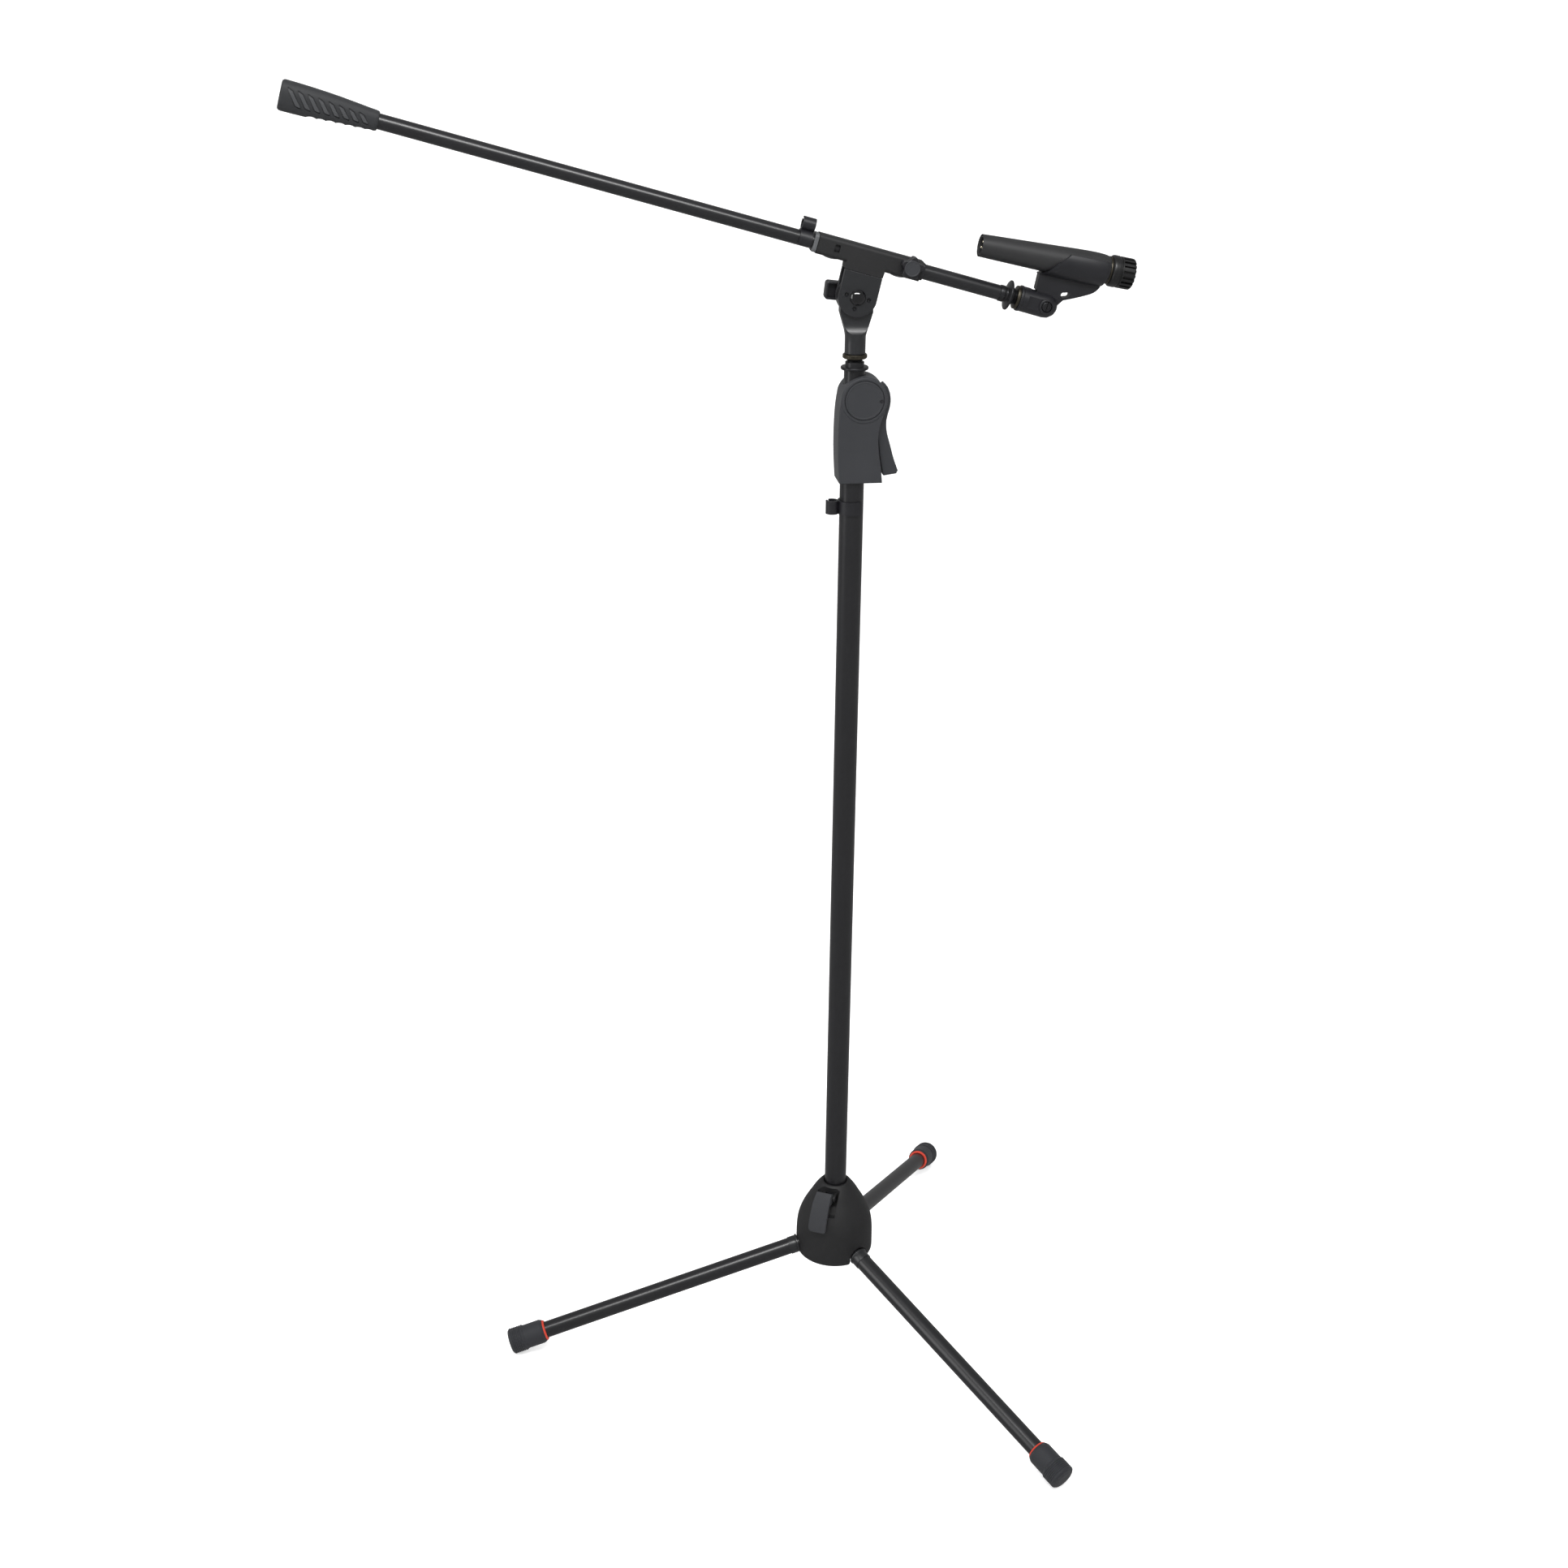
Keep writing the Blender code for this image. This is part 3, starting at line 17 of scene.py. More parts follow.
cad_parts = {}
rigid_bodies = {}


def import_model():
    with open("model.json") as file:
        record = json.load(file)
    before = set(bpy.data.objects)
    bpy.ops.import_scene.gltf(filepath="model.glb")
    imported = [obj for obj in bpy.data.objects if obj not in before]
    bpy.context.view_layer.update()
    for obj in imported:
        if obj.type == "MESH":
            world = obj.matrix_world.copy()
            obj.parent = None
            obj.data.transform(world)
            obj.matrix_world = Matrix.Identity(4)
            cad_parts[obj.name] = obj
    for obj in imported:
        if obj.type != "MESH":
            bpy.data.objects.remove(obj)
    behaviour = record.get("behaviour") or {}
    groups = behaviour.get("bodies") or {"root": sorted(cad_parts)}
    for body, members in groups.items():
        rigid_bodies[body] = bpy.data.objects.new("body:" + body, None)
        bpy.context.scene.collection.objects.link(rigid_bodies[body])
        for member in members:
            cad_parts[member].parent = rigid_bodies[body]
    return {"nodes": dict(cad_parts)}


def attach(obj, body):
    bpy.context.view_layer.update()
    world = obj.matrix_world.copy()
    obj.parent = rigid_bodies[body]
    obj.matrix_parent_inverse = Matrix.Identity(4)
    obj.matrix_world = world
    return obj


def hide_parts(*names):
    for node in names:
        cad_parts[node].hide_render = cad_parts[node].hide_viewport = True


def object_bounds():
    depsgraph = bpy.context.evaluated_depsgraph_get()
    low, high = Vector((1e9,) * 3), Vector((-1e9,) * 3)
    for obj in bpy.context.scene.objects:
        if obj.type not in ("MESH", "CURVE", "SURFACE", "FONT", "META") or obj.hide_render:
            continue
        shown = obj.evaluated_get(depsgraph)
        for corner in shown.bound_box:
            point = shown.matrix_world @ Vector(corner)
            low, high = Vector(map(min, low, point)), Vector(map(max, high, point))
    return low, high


for leftover in list(bpy.data.objects):
    bpy.data.objects.remove(leftover, do_unlink=True)
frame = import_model()
CAD_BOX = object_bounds()

LOG = logging.getLogger("stand")
MM = 0.001
WELD = 0.002  # mm, points nearer than this are one
HALF_TURN = math.pi
QUARTER = math.pi / 2
FIT = 0.3  # mm, gap between two pieces that fit together
PIN_FIT = 0.15  # mm, gap round a pin in its hole
THREAD_PITCH = 0.94  # mm, 27 turns to the inch
THREAD_DEPTH = 0.5

Pair = tuple[float, float]
Corner = tuple[float, ...]


class Axis(Enum):
    """The direction that an outline is pushed out in."""

    X = "x"
    Y = "y"
    Z = "z"

    def point(self, a: float, b: float, level: float) -> Vector:
        """A point of the outline at a level along this axis."""
        if self is Axis.X:
            return Vector((level, a, b))
        if self is Axis.Y:
            return Vector((a, level, b))
        return Vector((a, b, level))


class Cut(Enum):
    """How one solid changes another."""

    AWAY = "DIFFERENCE"
    JOIN = "UNION"
    SHARED = "INTERSECT"


# ---------------------------------------------------------------- outlines


def soften(corners: Sequence[Corner], closed: bool = False, steps: int = 4) -> list[Pair]:
    """Round the corners of a line.

    Args:
        corners: Points as (a, b) or (a, b, radius).
        closed: Whether the last point joins the first.
        steps: Segments in each rounded corner.

    Returns:
        The line's points, corners rounded.
    """
    line: list[Pair] = []
    count = len(corners)
    for index, corner in enumerate(corners):
        radius = corner[2] if len(corner) > 2 else 0.0
        at_end = not closed and index in (0, count - 1)
        here = Vector(corner[:2])
        if radius <= 0 or at_end:
            line.append((here.x, here.y))
            continue
        before = Vector(corners[index - 1][:2]) - here
        after = Vector(corners[(index + 1) % count][:2]) - here
        half = before.angle(after) / 2
        reach = min(radius / math.tan(half), before.length * 0.49, after.length * 0.49)
        radius = reach * math.tan(half)
        centre = here + (before.normalized() + after.normalized()).normalized() * (radius / math.sin(half))
        first = here + before.normalized() * reach - centre
        last = here + after.normalized() * reach - centre
        start = math.atan2(first.y, first.x)
        sweep = (math.atan2(last.y, last.x) - start + math.pi) % math.tau - math.pi
        for step in range(steps + 1):
            angle = start + sweep * step / steps
            line.append((centre.x + radius * math.cos(angle), centre.y + radius * math.sin(angle)))
    return line


def flow(points: Sequence[Pair], steps: int = 4) -> list[Pair]:
    """A smooth line through points.

    Args:
        points: Points that the line passes through.
        steps: Segments between two points.

    Returns:
        Points along the smooth line, the given ones among them.
    """
    knots = [Vector(points[0]), *map(Vector, points), Vector(points[-1])]
    line: list[Pair] = []
    for before, here, after, beyond in zip(knots, knots[1:], knots[2:], knots[3:]):
        for step in range(steps):
            t = step / steps
            blend = (
                2 * here
                + (after - before) * t
                + (2 * before - 5 * here + 4 * after - beyond) * t**2
                + (3 * here - before - 3 * after + beyond) * t**3
            ) / 2
            line.append((blend.x, blend.y))
    line.append((points[-1][0], points[-1][1]))
    return line


def arc(centre: Pair, radius: float, start: float, end: float, count: int) -> list[Pair]:
    """Points along an arc, both ends included; angles in degrees."""
    turns = (math.radians(start + (end - start) * i / (count - 1)) for i in range(count))
    return [(centre[0] + radius * math.cos(a), centre[1] + radius * math.sin(a)) for a in turns]


def rounded_box(half_a: float, half_b: float, radius: float) -> list[Pair]:
    """A rectangle about the origin with rounded corners."""
    corners = [(half_a, -half_b), (half_a, half_b), (-half_a, half_b), (-half_a, -half_b)]
    return soften([(a, b, radius) for a, b in corners], closed=True, steps=6)


def squircle(half_a: float, half_b: float, power: float, count: int = 64) -> list[Pair]:
    """An oval that tends to a rectangle as power grows past 2."""
    points = []
    for index in range(count):
        angle = math.tau * index / count
        c, s = math.cos(angle), math.sin(angle)
        stretch = (abs(c) ** power + abs(s) ** power) ** (-1 / power)
        points.append((half_a * c * stretch, half_b * s * stretch))
    return points


def thread(radius: float, low: float, turns: int) -> list[Corner]:
    """Roots and crests of a thread, as rings from low upwards."""
    line: list[Corner] = []
    for index in range(turns):
        start = low + index * THREAD_PITCH
        line += [(radius - THREAD_DEPTH, start), (radius, start + THREAD_PITCH / 2)]
    return line


# ---------------------------------------------------------------- the bench


def clear_selection() -> None:
    """Leave edit mode with nothing selected."""
    if bpy.context.mode != "OBJECT":
        bpy.ops.object.mode_set(mode="OBJECT")
    bpy.ops.object.select_all(action="DESELECT")


def activate(piece: bpy.types.Object) -> None:
    """Make one piece the only selected and active object."""
    clear_selection()
    piece.select_set(True)
    bpy.context.view_layer.objects.active = piece


def start_line(name: str, at: Vector) -> bpy.types.Object:
    """Start a piece as one point: a small plane, merged and moved to its place."""
    clear_selection()
    bpy.ops.mesh.primitive_plane_add(size=1, location=(0, 0, 0))
    piece = bpy.context.object
    piece.name = name
    piece.data.name = name
    bpy.ops.object.mode_set(mode="EDIT")
    bpy.ops.mesh.select_all(action="SELECT")
    bpy.ops.mesh.merge(type="CENTER")
    bpy.ops.transform.translate(value=at)
    return piece


def draw_line(points: Sequence[Vector]) -> None:
    """Extrude the selected point through the rest of a line."""
    for here, following in zip(points, points[1:]):
        bpy.ops.mesh.extrude_vertices_move(TRANSFORM_OT_translate={"value": following - here})


def push(move: Vector) -> None:
    """Extrude the selected face."""
    bpy.ops.mesh.extrude_region_move(TRANSFORM_OT_translate={"value": move})


def close_up() -> None:
    """Weld doubled points, turn every face outwards and leave edit mode."""
    bpy.ops.mesh.select_all(action="SELECT")
    bpy.ops.mesh.remove_doubles(threshold=WELD)
    bpy.ops.mesh.normals_make_consistent(inside=False)
    bpy.ops.object.mode_set(mode="OBJECT")


def turned(name: str, profile: Sequence[Pair], steps: int = 96, ring: bool = False) -> bpy.types.Object:
    """Turn a profile about Z.

    Args:
        name: The piece's name.
        profile: (radius, height) points; both ends on the axis unless it is a ring.
        steps: Segments round the axis.
        ring: Whether the profile closes on itself, as a tube's wall does.

    Returns:
        The closed solid.
    """
    points = [Vector((radius, 0, height)) for radius, height in profile]
    if ring:
        points.append(points[0])
    piece = start_line(name, points[0])
    draw_line(points)
    bpy.ops.mesh.select_all(action="SELECT")
    bpy.ops.mesh.spin(steps=steps, angle=math.tau, center=(0, 0, 0), axis=(0, 0, 1))
    close_up()
    return piece


def pipe(name: str, radius: float, wall: float, low: float, high: float, steps: int = 96) -> bpy.types.Object:
    """A tube along Z."""
    inner = radius - wall
    return turned(name, [(inner, low), (radius, low), (radius, high), (inner, high)], steps, ring=True)


def drill(radius: float, low: float, high: float) -> bpy.types.Object:
    """A round bar along Z that is used to cut a bore."""
    return turned("bore", [(0, low), (radius, low), (radius, high), (0, high)], 64)


def pushed(name: str, outline: Sequence[Pair], low: float, high: float, axis: Axis) -> bpy.types.Object:
    """Fill an outline and push it out along an axis, from low to high."""
    points = [axis.point(a, b, low) for a, b in outline]
    piece = start_line(name, points[0])
    draw_line(points)
    bpy.ops.mesh.select_all(action="SELECT")
    bpy.ops.mesh.edge_face_add()
    push(axis.point(0, 0, high - low))
    close_up()
    return piece


def rod(name: str, radius: float, low: float, high: float, axis: Axis, at: Pair = (0, 0)) -> bpy.types.Object:
    """A round bar along an axis, through a point given in the other two directions."""
    return pushed(name, arc(at, radius, 0, 352.5, 48), low, high, axis)


def apply(piece: bpy.types.Object, kind: str, **settings: object) -> None:
    """Add a modifier with its settings and apply it."""
    activate(piece)
    modifier = piece.modifiers.new(kind.lower(), kind)
    for key, value in settings.items():
        setattr(modifier, key, value)
    bpy.ops.object.modifier_apply(modifier=modifier.name)


def combine(piece: bpy.types.Object, tool: bpy.types.Object, cut: Cut = Cut.AWAY) -> None:
    """Cut, join or intersect a piece with a tool, which is used up."""
    apply(piece, "BOOLEAN", operation=cut.value, solver="EXACT", object=tool)
    bpy.data.objects.remove(tool, do_unlink=True)


def turn_edges(piece: bpy.types.Object, width: float, segments: int = 2, over: float = 40) -> None:
    """Round every edge sharper than an angle in degrees."""
    apply(
        piece,
        "BEVEL",
        width=width,
        segments=segments,
        limit_method="ANGLE",
        angle_limit=math.radians(over),
        use_clamp_overlap=True,
    )


def turn_rims(piece: bpy.types.Object, width: float, segments: int, level: float, above: float) -> None:
    """Round the edges of the front and back faces of a piece pushed out along Y.

    Args:
        piece: The piece.
        width: Reach of the rounding.
        segments: Its segments.
        level: Distance of both faces from the middle.
        above: Only edges with an end higher than this are rounded, so a flat foot stays crisp.
    """
    activate(piece)
    points = piece.data.vertices
    for edge in piece.data.edges:
        ends = [points[index].co for index in edge.vertices]
        on_face = all(abs(abs(end.y) - level) < WELD for end in ends) and ends[0].y * ends[1].y > 0
        edge.select = on_face and max(end.z for end in ends) > above
    for face in piece.data.polygons:
        face.select = False
    bpy.ops.object.mode_set(mode="EDIT")
    bpy.ops.mesh.select_mode(type="EDGE")
    bpy.ops.mesh.bevel(offset=width, segments=segments, affect="EDGES", clamp_overlap=True)
    bpy.ops.mesh.select_mode(type="VERT")
    bpy.ops.object.mode_set(mode="OBJECT")


def moved(piece: bpy.types.Object, matrix: Matrix) -> bpy.types.Object:
    """Move a piece and put the move into its mesh."""
    piece.matrix_world = matrix
    activate(piece)
    bpy.ops.object.transform_apply(location=True, rotation=True, scale=True)
    return piece


def copied(piece: bpy.types.Object, name: str) -> bpy.types.Object:
    """A copy with its own mesh."""
    twin = piece.copy()
    twin.data = piece.data.copy()
    twin.name = name
    twin.data.name = name
    bpy.context.scene.collection.objects.link(twin)
    return twin


def turn_y(angle: float) -> Matrix:
    """A turn about Y."""
    return Matrix.Rotation(angle, 4, "Y")


def turn_z(angle: float) -> Matrix:
    """A turn about Z."""
    return Matrix.Rotation(angle, 4, "Z")


def at_mm(x: float, y: float, z: float) -> Matrix:
    """A shift in millimetres."""
    return Matrix.Translation(Vector((x, y, z)))


# ---------------------------------------------------------------- finishes


def linear(colour: str) -> tuple[float, float, float, float]:
    """An sRGB hex colour as linear RGBA."""
    parts = [int(colour[i : i + 2], 16) / 255 for i in (1, 3, 5)]
    red, green, blue = [c / 12.92 if c <= 0.04045 else ((c + 0.055) / 1.055) ** 2.4 for c in parts]
    return (red, green, blue, 1.0)


def add_node(
    tree: bpy.types.NodeTree, kind: str, inputs: dict[str | int, object] | None = None, **settings: object
) -> bpy.types.Node:
    """Add a node.

    Args:
        tree: The material's nodes.
        kind: The node's type.
        inputs: Sockets by name or number, each filled with a value or linked to another node's output.
        **settings: The node's own settings.

    Returns:
        The node.
    """
    node = tree.nodes.new(kind)
    for key, value in settings.items():
        setattr(node, key, value)
    for key, value in (inputs or {}).items():
        if isinstance(value, bpy.types.NodeSocket):
            tree.links.new(value, node.inputs[key])
        else:
            node.inputs[key].default_value = value
    return node


@dataclass(frozen=True)
class Finish:
    """A surface: base colour with a slow drift, a fine grain and a gloss that varies a little.

    Sizes of patterns are in millimetres on the object; glow is the light that the surface gives by itself.
    """

    name: str
    slot: str
    colour: str
    drift_colour: str
    roughness: float
    metallic: float = 0.0
    drift_mm: float = 30.0
    grain_mm: float = 1.0
    grain_height_mm: float = 0.02
    gloss_spread: float = 0.05
    coat: float = 0.0
    coat_roughness: float = 0.1
    sheen: float = 0.0
    specular: float = 0.5
    glow: float = 0.0

    def height(self, tree: bpy.types.NodeTree, place: bpy.types.NodeSocket) -> bpy.types.NodeSocket:
        """The surface's relief, from 0 to 1: by default a soft unevenness."""
        noise = add_node(
            tree,
            "ShaderNodeTexNoise",
            {"Vector": place, "Scale": 1000 / self.grain_mm, "Detail": 3.0, "Roughness": 0.55},
        )
        return noise.outputs["Fac"]

    def material(self) -> bpy.types.Material:
        """The finish as a material, made once."""
        known = bpy.data.materials.get(self.name)
        if known:
            return known
        material = bpy.data.materials.new(self.name)
        material.use_nodes = True
        tree = material.node_tree
        shader = tree.nodes["Principled BSDF"]
        place = add_node(tree, "ShaderNodeTexCoord").outputs["Object"]
        slow = add_node(
            tree, "ShaderNodeTexNoise", {"Vector": place, "Scale": 1000 / self.drift_mm, "Detail": 4.0}
        ).outputs["Fac"]
        mix = add_node(tree, "ShaderNodeMix", {0: slow}, data_type="RGBA")
        mix.inputs[6].default_value = linear(self.colour)
        mix.inputs[7].default_value = linear(self.drift_colour)
        tree.links.new(mix.outputs[2], shader.inputs["Base Color"])
        relief = self.height(tree, place)
        low, high = self.roughness - self.gloss_spread, self.roughness + self.gloss_spread
        gloss = add_node(tree, "ShaderNodeMapRange", {"Value": slow, "To Min": low, "To Max": high})
        tree.links.new(gloss.outputs["Result"], shader.inputs["Roughness"])
        bump = add_node(
            tree, "ShaderNodeBump", {"Height": relief, "Distance": self.grain_height_mm * MM, "Strength": 1.0}
        )
        tree.links.new(bump.outputs["Normal"], shader.inputs["Normal"])
        shader.inputs["Metallic"].default_value = self.metallic
        shader.inputs["Specular IOR Level"].default_value = self.specular
        shader.inputs["Coat Weight"].default_value = self.coat
        shader.inputs["Coat Roughness"].default_value = self.coat_roughness
        shader.inputs["Sheen Weight"].default_value = self.sheen
        shader.inputs["Sheen Roughness"].default_value = 0.45
        shader.inputs["Emission Color"].default_value = (1.0, 1.0, 1.0, 1.0)
        shader.inputs["Emission Strength"].default_value = self.glow
        return material


@dataclass(frozen=True)
class SparkGrained(Finish):
    """A moulding from a spark-eroded tool: small round pits cover it and break up its highlights."""

    def height(self, tree: bpy.types.NodeTree, place: bpy.types.NodeSocket) -> bpy.types.NodeSocket:
        """Round cells with a little noise on them."""
        cells = add_node(
            tree, "ShaderNodeTexVoronoi", {"Vector": place, "Scale": 1000 / self.grain_mm}, feature="SMOOTH_F1"
        )
        noise = add_node(tree, "ShaderNodeTexNoise", {"Vector": place, "Scale": 2200 / self.grain_mm})
        joined = add_node(
            tree,
            "ShaderNodeMath",
            {0: cells.outputs["Distance"], 1: noise.outputs["Fac"]},
            operation="ADD",
        )
        return joined.outputs[0]


@dataclass(frozen=True)
class Turned(Finish):
    """A metal part from a lathe: fine rings round its axis stretch the highlights."""

    tilt_deg: float = 0.0

    def height(self, tree: bpy.types.NodeTree, place: bpy.types.NodeSocket) -> bpy.types.NodeSocket:
        """Noise that is squeezed along the axis, so that it runs in rings."""
        turned_place = add_node(
            tree,
            "ShaderNodeMapping",
            {"Vector": place, "Rotation": (0.0, math.radians(self.tilt_deg), 0.0), "Scale": (0.06, 0.06, 1.0)},
        )
        noise = add_node(
            tree,
            "ShaderNodeTexNoise",
            {"Vector": turned_place.outputs["Vector"], "Scale": 1000 / self.grain_mm, "Detail": 2.0},
        )
        return noise.outputs["Fac"]


# Powder coat baked on steel tube: satin, with a faint orange peel that softens the long highlights.
POWDER_COAT = Finish(
    name="powder coated steel tube",
    slot="satin_black_steel",
    colour="#131315",
    drift_colour="#18181a",
    roughness=0.3,
    drift_mm=60.0,
    grain_mm=1.6,
    grain_height_mm=0.012,
    gloss_spread=0.03,
)
# Glass-filled nylon from a spark-eroded mould: dull, with grain that shows at a close look.
GRAINED_NYLON = SparkGrained(
    name="moulded nylon with spark grain",
    slot="black_plastic",
    colour="#161617",
    drift_colour="#1a1a1b",
    roughness=0.58,
    grain_mm=1.1,
    grain_height_mm=0.05,
    specular=0.35,
)
# Smooth moulded nylon: black, a little shinier than the grained one.
SMOOTH_NYLON = Finish(
    name="moulded nylon smooth",
    slot="black_plastic",
    colour="#131316",
    drift_colour="#18181c",
    roughness=0.4,
    grain_mm=2.0,
    grain_height_mm=0.01,
    specular=0.45,
)
# Soft-touch ABS: dark grey, velvety, no clear highlight.
SOFT_TOUCH = Finish(
    name="soft touch moulded ABS",
    slot="soft_grey_plastic",
    colour="#26272a",
    drift_colour="#2a2b2e",
    roughness=0.62,
    grain_mm=0.9,
    grain_height_mm=0.015,
    sheen=0.04,
    specular=0.28,
)
# Acetal of the guide bush and the pads: mid grey and waxy.
GREY_ACETAL = Finish(
    name="moulded acetal grey",
    slot="soft_grey_plastic",
    colour="#454648",
    drift_colour="#4b4c4e",
    roughness=0.45,
    grain_mm=1.2,
    grain_height_mm=0.01,
    specular=0.4,
)
# Moulded rubber of the feet: dull, bluish black.
VULCANISED = Finish(
    name="vulcanised rubber",
    slot="rubber_black",
    colour="#202124",
    drift_colour="#25262a",
    roughness=0.66,
    grain_mm=1.3,
    grain_height_mm=0.02,
    sheen=0.06,
    specular=0.3,
)
# The grip's rubber, a shade darker than the feet's.
GRIP_RUBBER = Finish(
    name="moulded grip rubber",
    slot="rubber_black",
    colour="#1d1e20",
    drift_colour="#222325",
    roughness=0.64,
    grain_mm=1.0,
    grain_height_mm=0.03,
    sheen=0.05,
    specular=0.3,
)
# The same rubber on the grip's raised pads, a lighter grey than the grip.
PAD_RUBBER = Finish(
    name="moulded grip rubber lighter pads",
    slot="rubber_black",
    colour="#303133",
    drift_colour="#363739",
    roughness=0.55,
    grain_mm=1.0,
    grain_height_mm=0.02,
    specular=0.35,
)
# Pigmented silicone of the rings at the feet.
RED_SILICONE = Finish(
    name="red silicone",
    slot="rubber_red",
    colour="#b8321c",
    drift_colour="#a82c18",
    roughness=0.5,
    drift_mm=6.0,
    grain_height_mm=0.01,
)
# Zinc die casting under satin black paint: a soft metallic sheen on flat faces.
PAINTED_ZINC = Finish(
    name="painted zinc casting",
    slot="black_casting",
    colour="#161719",
    drift_colour="#1b1c1e",
    roughness=0.34,
    grain_mm=1.4,
    grain_height_mm=0.015,
    coat=0.1,
    coat_roughness=0.25,
)
# Turned steel under black oxide: dark, with ring-shaped tool marks.
BLACK_OXIDE = Turned(
    name="turned steel black oxide",
    slot="black_oxide_steel",
    colour="#303032",
    drift_colour="#262628",
    roughness=0.34,
    metallic=0.7,
    drift_mm=8.0,
    grain_mm=0.5,
    grain_height_mm=0.02,
)
# Zinc plated steel of pins and screws that hardly show.
PLATED_STEEL = Turned(
    name="turned steel zinc plated",
    slot="bright_steel",
    colour="#8d8e92",
    drift_colour="#77787c",
    roughness=0.3,
    metallic=1.0,
    drift_mm=5.0,
    grain_mm=0.4,
    grain_height_mm=0.01,
)
# Black chrome of the domed bolt: a dark mirror.
BLACK_CHROME = Finish(
    name="black chrome",
    slot="black_chrome",
    colour="#0c0c0e",
    drift_colour="#101013",
    roughness=0.09,
    metallic=0.6,
    grain_mm=3.0,
    grain_height_mm=0.002,
    gloss_spread=0.02,
    coat=1.0,
    coat_roughness=0.03,
)
# Brass that has darkened: a brownish grey, with worn lighter spots.
AGED_BRASS = Turned(
    name="turned brass aged",
    slot="brass",
    colour="#6b665a",
    drift_colour="#3b3833",
    roughness=0.4,
    metallic=1.0,
    drift_mm=4.0,
    grain_mm=0.6,
    grain_height_mm=0.03,
    tilt_deg=-105.58,
)
# Gold plated contacts of the plug socket.
GOLD_PLATE = Finish(
    name="gold plated contact",
    slot="bright_steel",
    colour="#f0ead8",
    drift_colour="#ded2b4",
    roughness=0.2,
    metallic=1.0,
    drift_mm=3.0,
    grain_height_mm=0.002,
)
# Matt lacquer on the microphone's cast handle.
MATT_LACQUER = Finish(
    name="matt lacquer on cast handle",
    slot="mic_enamel",
    colour="#1e1e1f",
    drift_colour="#232324",
    roughness=0.5,
    grain_mm=0.8,
    grain_height_mm=0.02,
    specular=0.35,
)
# Black polycarbonate of the microphone's head.
HEAD_PLASTIC = Finish(
    name="moulded polycarbonate black",
    slot="black_plastic",
    colour="#0b0b0c",
    drift_colour="#101011",
    roughness=0.38,
    grain_mm=1.2,
    grain_height_mm=0.01,
)


# ---------------------------------------------------------------- handing over


def dress(node: str, finish: Finish) -> None:
    """Give a CAD node that stays as it is a better material."""
    for slot in frame["nodes"][node].material_slots:
        slot.link = "OBJECT"
        slot.material = finish.material()
    LOG.info("dressed %s in %s", node, finish.name)


def hand_over(
    piece: bpy.types.Object,
    place: Matrix,
    body: str,
    nodes: Iterable[str],
    finish: Finish,
    smooth_deg: float = 32,
    crisp: bool = False,
) -> None:
    """Put a finished piece in its place, dress it and let it ride its body.

    Args:
        piece: The piece, in millimetres on its own axes.
        place: Where its axes lie, in millimetres in the frame.
        body: The CAD body that carries it.
        nodes: The CAD nodes that it stands for.
        finish: Its surface.
        smooth_deg: Faces that meet at less than this shade as one surface.
        crisp: Whether large flat faces should keep flat shading next to rounded edges.
    """
    moved(piece, Matrix.Scale(MM, 4) @ place)
    bpy.ops.object.shade_smooth_by_angle(angle=math.radians(smooth_deg))
    if crisp:
        apply(piece, "WEIGHTED_NORMAL", keep_sharp=True, weight=80)
    piece.data.materials.clear()
    piece.data.materials.append(finish.material())
    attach(piece, body)
    names = list(nodes)
    if names:
        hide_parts(*names)
    LOG.info("made %s on %s, %d faces, %s", piece.name, body, len(piece.data.polygons), finish.name)


# ---------------------------------------------------------------- shared places

PIVOT_Z = 1128.0
BOOM_TILT = math.radians(15.58)
BOOM_RISE = 40.3
MIC_TILT = math.radians(11.13)
UPRIGHT = Matrix.Identity(4)
TO_FRONT = Matrix.Rotation(QUARTER, 4, "X")  # a turned piece's axis comes to point at the viewer's side, -Y
TILTED = at_mm(0, 0, PIVOT_Z) @ turn_y(BOOM_TILT)
BOOM_LINE = TILTED @ at_mm(0, 0, BOOM_RISE)
ALONG_BOOM = BOOM_LINE @ turn_y(QUARTER)


@dataclass(frozen=True)
class Stance:
    """Where the three legs stand round the column, in degrees and millimetres."""

    azimuths: tuple[float, ...] = (181.7, 301.7, 61.7)
    slope: float = 16.87
    apex: float = 24.4
    pivot_radius: float = 28.0


STANCE = Stance()


# ---------------------------------------------------------------- sub-assemblies


